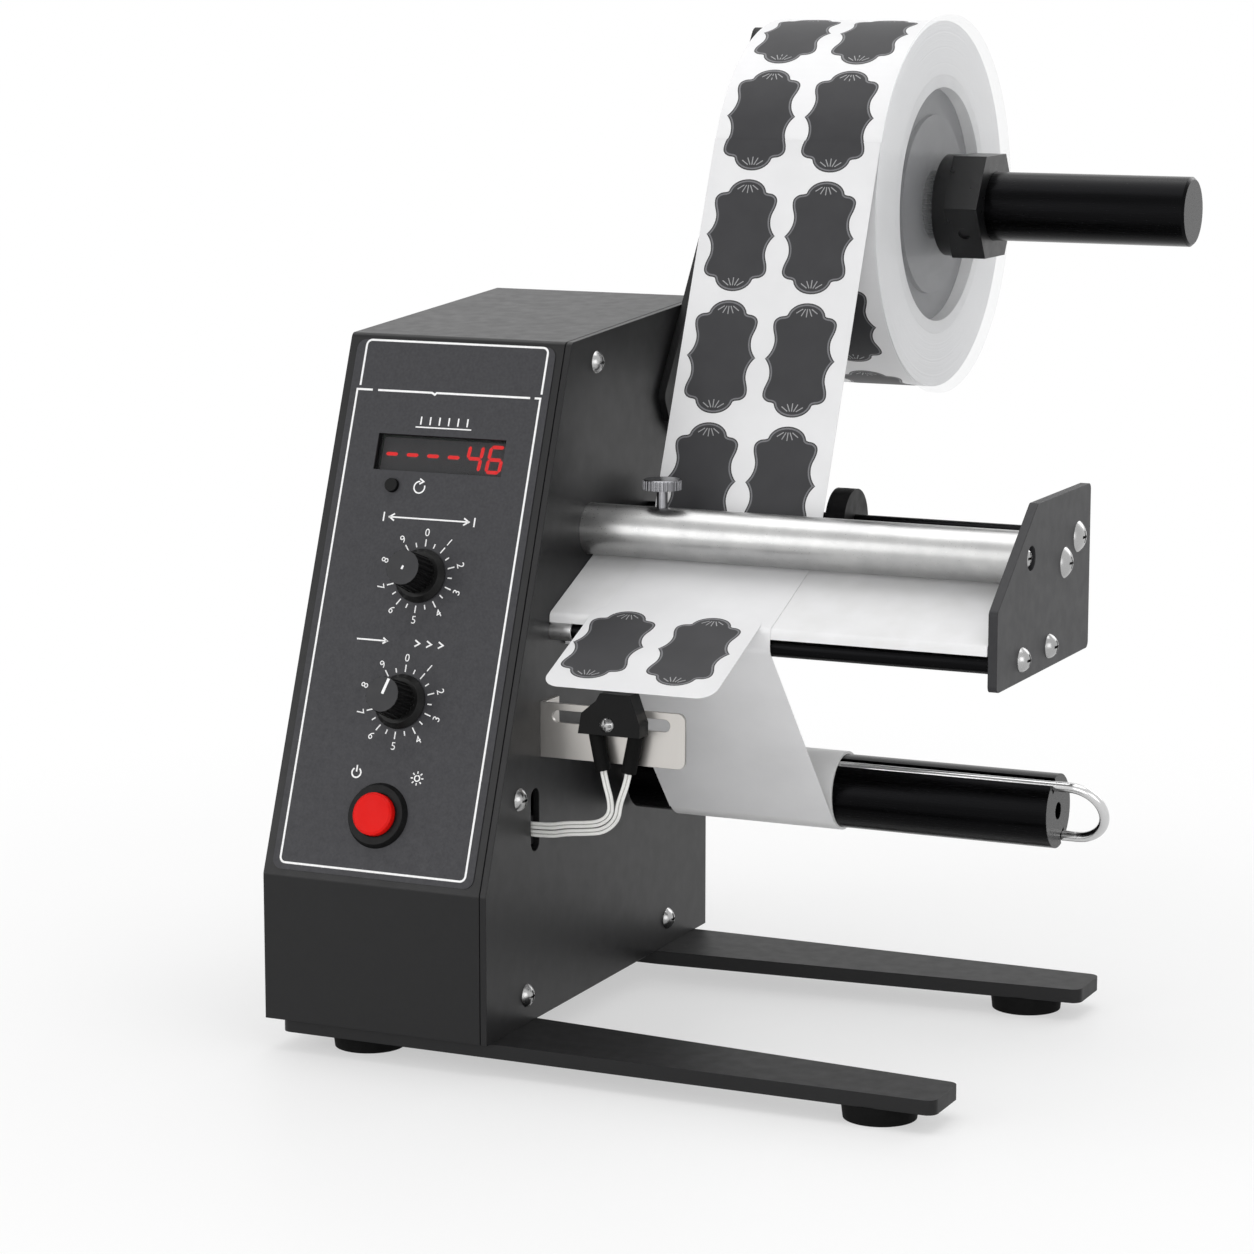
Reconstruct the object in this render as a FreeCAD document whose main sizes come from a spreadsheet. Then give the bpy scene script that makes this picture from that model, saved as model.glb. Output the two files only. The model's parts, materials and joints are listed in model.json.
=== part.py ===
import FreeCAD, Part
import math
import os
import re
import Sketcher
from types import SimpleNamespace
from FreeCAD import Placement, Rotation, Vector

# A label dispenser: a sheet-metal case with a sloped control panel stands on two foot bars.
# Between its side plate and an end plate the label web runs from a roll, under a tube, over a
# peeling platform and back to a driven take-up roller.
# Working frame: x = 0 is the outer face of the side plate, y = 0 the lower front, z = 0 the case bottom.
# Every length is in millimetres.

DRIVING = {
    # case
    "case_width": 95,
    "case_depth": 205,
    "lower_front_height": 57,
    "front_setback": 76,
    "front_top_height": 257,
    "top_climb": 7.5,
    "case_wall": 1.5,
    "bend_radius": 2.5,
    "side_thickness": 2.5,
    "seam_gap": 0.4,
    "base_thickness": 2,
    "seat_gap": 0.2,
    "snug_gap": 0.05,
    "tab_size": 13,
    "tab_thickness": 2,
    "overrun": 6,
    # side plate screws, from the folds and the back
    "upper_screw_back": 22,
    "upper_screw_drop": 10.8,
    "front_screw_rise": 31.5,
    "front_screw_inset": 17,
    "low_front_screw_y": 34.5,
    "low_back_screw_inset": 39,
    "low_screw_z": 11,
    # pan-head screws
    "screw_shank_radius": 1.95,
    "screw_hole_radius": 2.0,
    "screw_clear_radius": 2.1,
    "pan_head_radius": 4.5,
    "pan_head_height": 2.8,
    "end_head_radius": 4.8,
    "end_head_height": 3.4,
    "rod_head_radius": 6,
    "rod_head_height": 2.8,
    "nut_height": 3,
    "recess_length": 4.6,
    "recess_width": 1,
    "recess_depth": 1.3,
    "side_screw_length": 6,
    # foot bars and feet
    "bar_thickness": 5.5,
    "bar_left": 90,
    "bar_right": 177,
    "bar_root_width": 40,
    "bar_tip_width": 26,
    "bar_corner_radius": 4,
    "front_bar_y": 3,
    "rear_bar_inset": 11,
    "foot_height": 7,
    "foot_radius": 14.5,
    "foot_rim_radius": 13.6,
    "foot_recess_radius": 5.4,
    "foot_recess_depth": 3.6,
    "foot_end_inset": 26,
    "foot_left_x": 62,
    "foot_screw_depth": 4,
    "bar_screw_near": 20,
    "bar_screw_far": 76,
    # front panel, in its own plane: u runs along x, v up the slope
    "overlay_thickness": 0.4,
    "overlay_left": 3.4,
    "overlay_right": 6,
    "overlay_margin": 2.4,
    "overlay_corner_radius": 4,
    "window_left": 76,
    "window_right": 21,
    "window_share": 0.748,
    "window_height": 14.4,
    "window_lip": 3,
    "window_thickness": 1.5,
    "digit_width": 8,
    "digit_height": 13,
    "digit_depth": 6,
    "digit_pitch": 8.9,
    "digit_gap": 0.3,
    "display_board_thickness": 1.6,
    "display_board_drop": 13,
    "display_board_height": 34,
    "reset_u": 66.5,
    "reset_drop": 6,
    "reset_radius": 2.6,
    "reset_proud": 1.6,
    "reset_tail": 4,
    "reset_travel": 0.8,
    "reset_switch_size": 6,
    "button_clearance": 0.2,
    "knob_u": 48.2,
    "length_knob_share": 0.5585,
    "speed_knob_share": 0.3295,
    "pot_radius": 8.5,
    "pot_depth": 9,
    "pot_bush_radius": 3.5,
    "pot_bush_length": 4.8,
    "pot_shaft_radius": 3,
    "pot_shaft_length": 12,
    "pot_shaft_tail": 1.2,
    "pot_nut_radius": 5,
    "pot_nut_height": 2,
    "running_gap": 0.06,
    "knob_height": 15,
    "knob_lift": 0.6,
    "knob_skirt_radius": 10.6,
    "knob_skirt_height": 2.6,
    "knob_skirt_top_radius": 8.8,
    "knob_base_radius": 7.6,
    "knob_top_radius": 6.9,
    "knob_recess_radius": 6,
    "knob_recess_depth": 3,
    "knob_flute_radius": 0.9,
    "power_u": 50,
    "power_share": 0.1234,
    "bezel_radius": 12.6,
    "bezel_inner_radius": 8.5,
    "bezel_height": 2.4,
    "barrel_radius": 9,
    "barrel_length": 13,
    "power_cap_radius": 8.2,
    "power_cap_proud": 5.6,
    "power_cap_tail": 6,
    "power_cap_rim": 0.8,
    "switch_size": 19,
    "switch_depth": 14,
    # boards, power supply and inlet inside the case
    "standoff_height": 5,
    "standoff_radius": 3,
    "standoff_inset": 6,
    "board_thickness": 1.6,
    "board_back_gap": 17,
    "board_low_z": 122,
    "board_length": 90,
    "board_height": 84,
    "capacitor_radius": 7,
    "capacitor_height": 18,
    "chip_size": 14,
    "chip_height": 3,
    "terminal_length": 34,
    "terminal_width": 9,
    "terminal_height": 11,
    "supply_low_y": 52,
    "supply_length": 50,
    "supply_width": 62,
    "supply_height": 34,
    "supply_left": 16,
    "heat_fin_height": 8,
    "heat_fin_width": 3,
    "heat_fin_pitch": 9,
    "inlet_centre_x": 48,
    "inlet_centre_z": 34,
    "inlet_width": 27,
    "inlet_height": 20,
    "inlet_depth": 18,
    "inlet_flange_width": 48,
    "inlet_flange_height": 25,
    "inlet_flange_thickness": 2.5,
    "inlet_wall": 1.8,
    "inlet_floor": 4,
    "inlet_pin_width": 2,
    "inlet_pin_height": 6,
    "inlet_pin_length": 10,
    "inlet_pin_pitch": 7,
    "inlet_screw_pitch": 40,
    # drive and take-up
    "take_up_y": 133,
    "take_up_z": 79.8,
    "shaft_radius": 5,
    "shaft_inner_end": 30,
    "shaft_grip": 110,
    "bearing_radius": 9,
    "bearing_flange_radius": 11.5,
    "bearing_flange": 1.6,
    "gearbox_length": 30,
    "gearbox_width": 52,
    "gearbox_height": 58,
    "gearbox_drop": 27,
    "motor_radius": 21,
    "motor_length": 40,
    "motor_rise": 5,
    "motor_screw_inset": 6,
    "roller_start": 3.4,
    "roller_end": 178.2,
    "roller_radius": 14.4,
    "roller_hole_radius": 3.4,
    "groove_width": 4.7,
    "groove_depth": 4.4,
    "groove_angle": 28,
    "wound_thickness": 1,
    "layer_gap": 0.05,
    "wire_radius": 2,
    "wire_gap": 0.25,
    "clip_leg_start": 12,
    "clip_bend_x": 184.3,
    # web
    "web_left": 21,
    "web_width": 70,
    "web_thickness": 0.25,
    "web_gap": 0.3,
    "label_thickness": 0.2,
    "label_side_margin": 0.5,
    "label_drift": 4,
    "label_length": 56,
    "label_overlap": 8,
    "label_corner_radius": 7,
    # tube, rods, platform and end plate
    "tube_y": 92,
    "tube_z": 183.5,
    "tube_radius": 10,
    "tube_wall": 1.5,
    "tube_plug_length": 12,
    "rod_radius": 3,
    "guide_rod_y": 147.5,
    "guide_rod_z": 184,
    "tie_rod_y": 132,
    "tie_rod_z": 176.2,
    "clear_width": 176,
    "platform_front_y": 54.9,
    "platform_front_z": 156,
    "platform_back_y": 98,
    "platform_back_z": 174.7,
    "platform_thickness": 1.4,
    "platform_lip": 3.5,
    "platform_bend_radius": 2,
    "platform_flange_low": 142,
    "platform_flange_back": 121,
    "platform_flange_high": 153,
    "platform_screw_front_y": 83.2,
    "platform_screw_back_y": 114.6,
    "platform_screw_z": 147,
    "peel_bar_y": 58.7,
    "peel_bar_z": 149.1,
    "peel_bar_radius": 3.6,
    "peel_shaft_radius": 2.4,
    "peel_end_radius": 4,
    "peel_end_length": 9,
    "end_plate_thickness": 3.5,
    "tube_screw_sink": 2.4,
    "end_plate_front": 55.5,
    "end_plate_low": 139,
    "end_plate_knee": 168.5,
    "end_plate_top": 203,
    "end_plate_top_front": 99,
    "end_plate_back": 161.5,
    "end_plate_corner_radius": 2.5,
    "collar_radius": 13,
    "collar_width": 8,
    "left_collar_x": 12.2,
    "right_collar_x": 80.5,
    "collar_screw_radius": 1.5,
    "thumb_x": 30.4,
    "thumb_stem_radius": 2.1,
    "thumb_stem_length": 7,
    "thumb_tail": 6,
    "thumb_head_radius": 7.5,
    "thumb_head_height": 4,
    "thumb_head_chamfer": 0.7,
    "knurl_radius": 0.45,
    # sensor
    "bracket_front_y": 47,
    "bracket_thickness": 1.5,
    "bracket_length": 60,
    "bracket_low": 101.8,
    "bracket_high": 123,
    "bracket_flange": 12,
    "bracket_corner_radius": 3,
    "bracket_slot_start": 5,
    "bracket_slot_end": 54,
    "bracket_slot_height": 4.8,
    "sensor_x": 31.5,
    "sensor_z": 118,
    "sensor_left_foot": 12,
    "sensor_left_shoulder": 10.5,
    "sensor_left_neck": 4.5,
    "sensor_left_top": 2.8,
    "sensor_right_top": 9.5,
    "sensor_right_foot": 13.5,
    "sensor_drop": 4,
    "sensor_bevel_rise": 1,
    "sensor_shoulder_rise": 4,
    "sensor_neck_rise": 9,
    "sensor_rise": 12,
    "sensor_depth": 8,
    "sensor_key_gap": 0.2,
    "sensor_screw_radius": 2,
    "sensor_head_radius": 2.9,
    "sensor_head_height": 1.8,
    "sensor_nut_width": 8,
    "sensor_nut_height": 7,
    "sensor_nut_thickness": 3,
    "boot_radius": 2.9,
    "boot_length": 14.5,
    "boot_left_reach": 6.2,
    "boot_right_reach": 10.2,
    "boot_left_lean": 3,
    "boot_right_lean": -3,
    "cable_slot_y": 42,
    "cable_slot_low": 66,
    "cable_slot_height": 24.5,
    "cable_slot_width": 7.4,
    "sensor_wire_radius": 0.65,
    "wire_spread": 0.72,
    "wire_lead": 5,
    "connector_depth": 10,
    "connector_width": 17,
    "connector_low": 68,
    "connector_height": 11,
    # supply side
    "arm_thickness": 3,
    "arm_foot_inset": 50,
    "arm_foot_drop": 36.5,
    "arm_reach": 98,
    "arm_rise": 146,
    "arm_width": 42,
    "arm_chamfer_width": 10.6,
    "arm_chamfer_length": 5.3,
    "arm_corner_radius": 5,
    "arm_screw_low_share": 0.05,
    "arm_screw_high_share": 0.2,
    "supply_reach": 27,
    "supply_rise": 38,
    "supply_rod_radius": 13.75,
    "supply_rod_end": 196.5,
    "supply_rod_chamfer": 1,
    "journal_radius": 6,
    "bush_radius": 9,
    "bush_flange_radius": 12,
    "bush_flange": 2,
    "rod_shoulder_gap": 0.3,
    "rod_collar_radius": 11,
    "rod_collar_width": 6,
    "inner_flange_radius": 40,
    "inner_flange_thickness": 3,
    "inner_boss_radius": 22,
    "roll_radius": 73.5,
    "core_outer_radius": 52,
    "core_inner_radius": 47,
    "adapter_thickness": 7,
    "adapter_inset": 5,
    "adapter_step_radius": 36,
    "adapter_step": 2,
    "outer_disc_radius": 76,
    "outer_disc_thickness": 2.4,
    "outer_disc_gap": 1,
    "hub_flange_radius": 20.4,
    "hub_flange_length": 6,
    "hub_block_radius": 23.5,
    "hub_block_length": 14,
    "set_screw_radius": 2.5,
    "set_screw_angle": 210,
}

CARDINAL = {"x": Vector(1, 0, 0), "y": Vector(0, 1, 0), "z": Vector(0, 0, 1)}
X, Y, Z = CARDINAL.values()


def worked_out(d):
    """Sizes that follow from the driving ones."""
    tilt = math.atan2(d.front_setback, d.front_top_height - d.lower_front_height)
    panel_length = math.hypot(d.front_setback, d.front_top_height - d.lower_front_height)
    window_low = panel_length * d.window_share
    back_top_height = d.front_top_height + d.top_climb
    rise = d.top_climb / (d.case_depth - d.front_setback)
    slope_offset = d.case_wall / math.cos(tilt)
    top_offset = d.case_wall * math.hypot(1, rise)
    inner_top = d.front_top_height - top_offset
    inner_top += rise * (slope_offset - d.front_setback - d.lower_front_height * math.tan(tilt))
    inner_top /= 1 - rise * math.tan(tilt)
    inner_back = d.case_depth - d.case_wall
    arm_foot = Vector(0, d.case_depth - d.arm_foot_inset, back_top_height - d.arm_foot_drop)
    arm = Vector(0, d.arm_reach, d.arm_rise)
    arm_head = arm_foot + arm
    arm_way = Vector(arm).normalize()
    arm_side = arm_way.cross(X)
    arm_back = arm_head + arm_side * d.arm_width
    arm_toe = arm_foot + arm_side * d.arm_chamfer_width - arm_way * d.arm_chamfer_length
    arm_heel = arm_foot + arm_side * d.arm_width - arm_way * d.arm_chamfer_length
    grade = (d.platform_back_z - d.platform_front_z) / (d.platform_back_y - d.platform_front_y)
    below = d.platform_thickness * math.hypot(1, grade)
    clip_radius = d.roller_radius - d.groove_depth + d.wire_gap + d.wire_radius
    hub_start = d.web_left + d.web_width + d.outer_disc_gap + d.outer_disc_thickness
    return {
        "panel_tilt": math.degrees(tilt),
        "panel_length": panel_length,
        "window_low": window_low,
        "display_board_low": window_low - d.display_board_drop,
        "reset_v": window_low - d.reset_drop,
        "length_knob_v": panel_length * d.length_knob_share,
        "speed_knob_v": panel_length * d.speed_knob_share,
        "power_v": panel_length * d.power_share,
        "back_top_height": back_top_height,
        "top_rise": rise,
        "shell_length": d.case_width - d.side_thickness - d.seam_gap,
        "inner_fold": d.lower_front_height + (d.case_wall - slope_offset) / math.tan(tilt),
        "inner_top": inner_top,
        "inner_top_y": (inner_top - d.lower_front_height) * math.tan(tilt) + slope_offset,
        "inner_back": inner_back,
        "inner_back_top": d.front_top_height + rise * (inner_back - d.front_setback) - top_offset,
        "upper_screw_y": d.front_setback + d.upper_screw_back,
        "upper_screw_z": d.front_top_height + rise * d.upper_screw_back - d.upper_screw_drop,
        "front_screw_y": d.front_screw_rise * math.tan(tilt) + d.front_screw_inset,
        "front_screw_z": d.lower_front_height + d.front_screw_rise,
        "low_back_screw_y": d.case_depth - d.low_back_screw_inset,
        "rear_bar_back_y": d.case_depth - d.rear_bar_inset,
        "board_low_y": d.case_depth - d.board_back_gap - d.board_length,
        "arm_foot_y": arm_foot.y,
        "arm_foot_z": arm_foot.z,
        "arm_head_y": arm_head.y,
        "arm_head_z": arm_head.z,
        "arm_back_y": arm_back.y,
        "arm_back_z": arm_back.z,
        "arm_heel_y": arm_heel.y,
        "arm_heel_z": arm_heel.z,
        "arm_toe_y": arm_toe.y,
        "arm_toe_z": arm_toe.z,
        "supply_y": d.case_depth + d.supply_reach,
        "supply_z": back_top_height + d.supply_rise,
        "platform_under_front_z": d.platform_front_z + grade * d.platform_thickness - below,
        "platform_under_back_z": d.platform_back_z - grade * d.platform_thickness - below,
        "clip_radius": clip_radius,
        "roller_length": d.roller_end - d.roller_start,
        "wound_radius": d.roller_radius + d.layer_gap + d.wound_thickness,
        "hub_start": hub_start,
        "hub_end": hub_start + d.hub_flange_length + d.hub_block_length,
        "rod_start": d.arm_thickness + d.bush_flange + d.rod_shoulder_gap,
    }


# The document and its sheet of sizes
doc = FreeCAD.newDocument("label_dispenser")
sheet = doc.addObject("Spreadsheet::Sheet", "Sizes")
sizes = dict(DRIVING)
sizes.update(worked_out(SimpleNamespace(**DRIVING)))
for row, (alias, value) in enumerate(sizes.items(), start=1):
    sheet.set(f"A{row}", alias)
    sheet.set(f"B{row}", repr(float(value)))
    sheet.setAlias(f"B{row}", alias)
doc.recompute()
d = SimpleNamespace(**{alias: float(sheet.get(alias)) for alias in sizes})

# The row frame: centred on the whole object, on the plane that the feet stand on
half_span = (d.clip_bend_x + d.clip_radius + d.wire_radius - d.case_width) / 2
half_depth = (d.supply_y + d.outer_disc_radius) / 2
ROW = Placement(Vector(-half_span, -half_depth, d.bar_thickness + d.foot_height), Rotation())
PANEL = Placement(Vector(0, 0, d.lower_front_height), Rotation(X, -d.panel_tilt))

WORD = re.compile(r"[a-z][a-z0-9_]*")
nodes = []
case_screws = []


def cell(text):
    """The expression with each alias read from the sheet."""
    return WORD.sub(lambda found: "Sizes." + found[0] if found[0] in sizes else found[0], text)


def bind(thing, **expressions):
    for prop, text in expressions.items():
        thing.setExpression(prop, cell(text))


def block(low, length, width, height):
    """A box from its low corner."""
    solid = doc.addObject("Part::Box", "Block")
    bind(solid, Length=length, Width=width, Height=height)
    solid.Placement.Base = low
    return solid


def turn(start, along, radius, length):
    """A cylinder from start along a direction."""
    solid = doc.addObject("Part::Cylinder", "Turned")
    bind(solid, Radius=radius, Height=length)
    solid.Placement = Placement(start, Rotation(Z, along))
    return solid


def taper(start, along, near, far, length):
    """A cone from its near radius to its far radius."""
    solid = doc.addObject("Part::Cone", "Tapered")
    bind(solid, Radius1=near, Radius2=far, Height=length)
    solid.Placement = Placement(start, Rotation(Z, along))
    return solid


def fuse(*parts):
    if len(parts) == 1:
        return parts[0]
    joined = doc.addObject("Part::MultiFuse", "Joined")
    joined.Shapes = list(parts)
    return joined


def cut(base, *tools):
    result = doc.addObject("Part::Cut", "Trimmed")
    result.Base = base
    result.Tool = fuse(*tools)
    return result


def common(base, tool):
    result = doc.addObject("Part::Common", "Shared")
    result.Base = base
    result.Tool = tool
    return result


def ring(start, along, outer, inner, length):
    """A round tube."""
    hole_start = start - along * d.overrun
    hole = turn(hole_start, along, inner, f"{length} + 2 * overrun")
    return cut(turn(start, along, outer, length), hole)


def made(name, shape):
    """A solid that Part's own functions made."""
    feature = doc.addObject("Part::Feature", name)
    feature.Shape = shape
    return feature


def placed(solid, frame):
    solid.Placement = frame * solid.Placement
    return solid


def padded(outline, thickness, role="YZ_Plane", corners=(), radius="bend_radius"):
    """A plate: a sketched outline with its corners rounded, padded along its plane's normal."""
    body = doc.addObject("PartDesign::Body", "Plate")
    sketch = body.newObject("Sketcher::SketchObject", "Outline")
    plane = next(item for item in body.Origin.OriginFeatures if item.Role == role)
    sketch.AttachmentSupport = [(plane, "")]
    sketch.MapMode = "FlatFace"
    count = len(outline)
    turns = [2 * math.pi * index / count for index in range(count)]
    start = [Vector(math.cos(angle), -math.sin(angle), 0) * d.overrun for angle in turns]
    for index in range(count):
        sketch.addGeometry(Part.LineSegment(start[index], start[(index + 1) % count]), False)
    for index in range(count):
        sketch.addConstraint(Sketcher.Constraint("Coincident", index, 2, (index + 1) % count, 1))
    for index, (across, up) in enumerate(outline):
        for kind, text in (("DistanceX", across), ("DistanceY", up)):
            number = sketch.addConstraint(Sketcher.Constraint(kind, -1, 1, index, 1, 1.0))
            sketch.setExpression(f"Constraints[{number}]", cell(text))
    pad = body.newObject("PartDesign::Pad", "Pad")
    pad.Profile = sketch
    bind(pad, Length=thickness)
    doc.recompute()
    if corners:
        ends = [sketch.Placement.multVec(sketch.Geometry[index].StartPoint) for index in corners]
        normal = sketch.Placement.Rotation.multVec(Z)
        names = []
        for number, edge in enumerate(pad.Shape.Edges, start=1):
            first = edge.Vertexes[0].Point
            along = edge.Vertexes[-1].Point - first
            square = along.cross(normal).Length < d.layer_gap
            if square and any((first - end).cross(normal).Length < d.layer_gap for end in ends):
                names.append(f"Edge{number}")
        fillet = body.newObject("PartDesign::Fillet", "Corners")
        fillet.Base = (pad, names)
        bind(fillet, Radius=radius)
    return body


def pan_screw(seat, along, head_radius="pan_head_radius", head_height="pan_head_height",
              shank_radius="screw_shank_radius", length="side_screw_length"):
    """A domed screw whose head stands on its seat, with the shank running along a direction."""
    height = getattr(d, head_height)
    radius = getattr(d, head_radius)
    ball = (radius * radius + height * height) / (2 * height)
    dome = doc.addObject("Part::Sphere", "Dome")
    squares = f"{head_radius} * {head_radius} + {head_height} * {head_height}"
    bind(dome, Radius=f"({squares}) / (2 * {head_height})")
    dome.Placement.Base = seat + along * (ball - height)
    head = common(turn(seat - along * height, along, head_radius, head_height), dome)
    spin = Rotation(Z, along)
    recess = []
    for quarter in (0, 90):
        bar = block(Vector(), "recess_length", "recess_width", "recess_depth")
        bar.Placement.Base = Vector(-d.recess_length / 2, -d.recess_width / 2, 0)
        frame = Placement(seat - along * height, spin * Rotation(Z, quarter))
        recess.append(placed(bar, frame))
    return fuse(cut(head, *recess), turn(seat, along, shank_radius, length))


def node(label, *parts, frame=None):
    """One sub-part: its solids together, under the name of its file."""
    group = doc.addObject("Part::Compound", label)
    group.Label = label
    group.Links = list(parts)
    group.Placement = ROW * frame if frame else ROW
    nodes.append(group)
    return group


CASE_OUTLINE = [
    ("0", "0"),
    ("0", "lower_front_height"),
    ("front_setback", "front_top_height"),
    ("case_depth", "back_top_height"),
    ("case_depth", "0"),
]


def at_side(y, z, x=0.0):
    return Vector(x, y, z)


def case_pieces():
    """The bent case shell, the base plate and the side plate with its screws."""
    left = -d.case_width
    inside = -d.side_thickness
    outer = padded(CASE_OUTLINE, "shell_length", corners=(1, 2, 3))
    outer.Placement.Base = Vector(left, 0, 0)
    inner = padded(
        [
            ("case_wall", "-overrun"),
            ("case_wall", "inner_fold"),
            ("inner_top_y", "inner_top"),
            ("inner_back", "inner_back_top"),
            ("inner_back", "-overrun"),
        ],
        "shell_length - case_wall + overrun",
    )
    inner.Placement.Base = Vector(left + d.case_wall, 0, 0)
    tab_x = inside - d.seam_gap - d.tab_thickness
    half_tab = d.tab_size / 2
    tabs = []
    screw_holes = []
    for y, z, up in (
        (d.upper_screw_y, d.upper_screw_z, 0.0),
        (d.front_screw_y, d.front_screw_z, -half_tab * 2),
    ):
        corner = Vector(tab_x, y - half_tab + up, z - half_tab)
        tabs.append(block(corner, "tab_thickness", "2 * tab_size", "tab_size + overrun"))
        screw_holes.append(turn(at_side(y, z, tab_x - d.overrun), X, "screw_hole_radius", "4 * overrun"))
    tabs = common(outer, fuse(*tabs))
    cuts = [placed(tool, PANEL) for tool in panel_openings()]
    inlet_low = Vector(-d.inlet_centre_x - d.inlet_width / 2, d.case_depth - d.overrun,
                       d.inlet_centre_z - d.inlet_height / 2)
    cuts.append(block(inlet_low, "inlet_width", "2 * overrun", "inlet_height"))
    for side in (-1, 1):
        x = -d.inlet_centre_x + side * d.inlet_screw_pitch / 2
        cuts.append(turn(Vector(x, d.case_depth - d.overrun, d.inlet_centre_z), Y,
                         "screw_clear_radius", "2 * overrun"))
    node("case_shell", cut(fuse(cut(outer, inner, *cuts), tabs), *screw_holes))

    low_screws = [(d.low_front_screw_y, d.low_screw_z), (d.low_back_screw_y, d.low_screw_z)]
    inset = d.case_wall + d.seat_gap
    floor = block(Vector(left + inset, inset, 0),
                  "case_width - case_wall - seat_gap - side_thickness - seam_gap",
                  "case_depth - 2 * case_wall - 2 * seat_gap", "base_thickness")
    uprights = [block(Vector(tab_x, y - half_tab, 0), "tab_thickness", "tab_size",
                      "low_screw_z + tab_size / 2")
                for y, z in low_screws]
    holes = [turn(at_side(y, z, tab_x - d.overrun), X, "screw_hole_radius", "4 * overrun")
             for y, z in low_screws]
    holes += [turn(spot - Z * d.overrun, Z, "screw_clear_radius", "3 * overrun")
              for spot in bar_screw_spots()]
    node("base_plate", cut(fuse(floor, *uprights), *holes))

    plate = padded(CASE_OUTLINE, "side_thickness", corners=(1, 2, 3))
    plate.Placement.Base = Vector(inside, 0, 0)
    upper = [(d.upper_screw_y, d.upper_screw_z), (d.front_screw_y, d.front_screw_z)]
    bored = [turn(at_side(y, z, -d.overrun), X, "screw_clear_radius", "2 * overrun")
             for y, z in upper + low_screws + fixing_spots() + bracket_spots() + arm_spots()]
    axle = at_side(d.take_up_y, d.take_up_z, -d.overrun)
    bored.append(turn(axle, X, "bearing_radius + running_gap", "2 * overrun"))
    bored.append(cable_slot())
    node("side_plate", cut(plate, *bored))
    case_screws.extend(pan_screw(at_side(y, z), -X) for y, z in upper + low_screws)


def panel_openings():
    """The cuts for the window, the buttons and the knobs, in the panel's own plane."""
    window_corner = Vector(-d.window_left, -d.overrun, d.window_low)
    openings = [
        block(window_corner, "window_left - window_right", "2 * overrun", "window_height"),
        turn(Vector(-d.reset_u, -d.overrun, d.reset_v), Y, "reset_radius + button_clearance", "2 * overrun"),
        turn(Vector(-d.power_u, -d.overrun, d.power_v), Y, "barrel_radius + running_gap", "2 * overrun"),
    ]
    for v in (d.length_knob_v, d.speed_knob_v):
        start = Vector(-d.knob_u, -d.overrun, v)
        openings.append(turn(start, Y, "pot_bush_radius + running_gap", "2 * overrun"))
    return openings


def cable_slot():
    """The upright slot in the side plate that the sensor wires pass through."""
    half = d.cable_slot_width / 2
    low = Vector(-d.overrun, d.cable_slot_y - half, d.cable_slot_low + half)
    straight = block(low, "2 * overrun", "cable_slot_width", "cable_slot_height - cable_slot_width")
    ends = [turn(low + Y * half + Z * rise, X, "cable_slot_width / 2", "2 * overrun")
            for rise in (0, d.cable_slot_height - d.cable_slot_width)]
    return fuse(straight, *ends)


def fixing_spots():
    """Where screws from inside the case hold the tube, the rods and the platform."""
    return [
        (d.tube_y, d.tube_z),
        (d.guide_rod_y, d.guide_rod_z),
        (d.tie_rod_y, d.tie_rod_z),
        (d.platform_screw_front_y, d.platform_screw_z),
        (d.platform_screw_back_y, d.platform_screw_z),
    ]


def bracket_spots():
    """Where the sensor bracket's flange is screwed to the side plate."""
    y = d.bracket_front_y + d.bracket_thickness + d.bracket_flange / 2
    middle = (d.bracket_low + d.bracket_high) / 2
    return [(y, middle - d.tab_size / 2), (y, middle + d.tab_size / 2)]


def arm_spots():
    """Where the supply arm is screwed to the side plate, on the arm's centre line."""
    low = Vector(0, (d.arm_foot_y + d.arm_heel_y) / 2, (d.arm_foot_z + d.arm_heel_z) / 2)
    high = Vector(0, (d.arm_head_y + d.arm_back_y) / 2, (d.arm_head_z + d.arm_back_z) / 2)
    spots = [low + (high - low) * share for share in (d.arm_screw_low_share, d.arm_screw_high_share)]
    return [(spot.y, spot.z) for spot in spots]


def bar_middle(rear, x):
    """The y of a foot bar's middle at x: the inner edge tapers beyond the case."""
    share = max(x, 0) / d.bar_right
    width = d.bar_root_width - share * (d.bar_root_width - d.bar_tip_width)
    return d.rear_bar_back_y - width / 2 if rear else d.front_bar_y + width / 2


def bar_screw_spots():
    return [Vector(-x, bar_middle(rear, 0), 0) for rear in (False, True)
            for x in (d.bar_screw_near, d.bar_screw_far)]


def foot_spots():
    top = -d.bar_thickness
    return [Vector(x, bar_middle(rear, x), top) for rear in (False, True)
            for x in (-d.foot_left_x, d.bar_right - d.foot_end_inset)]


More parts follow.
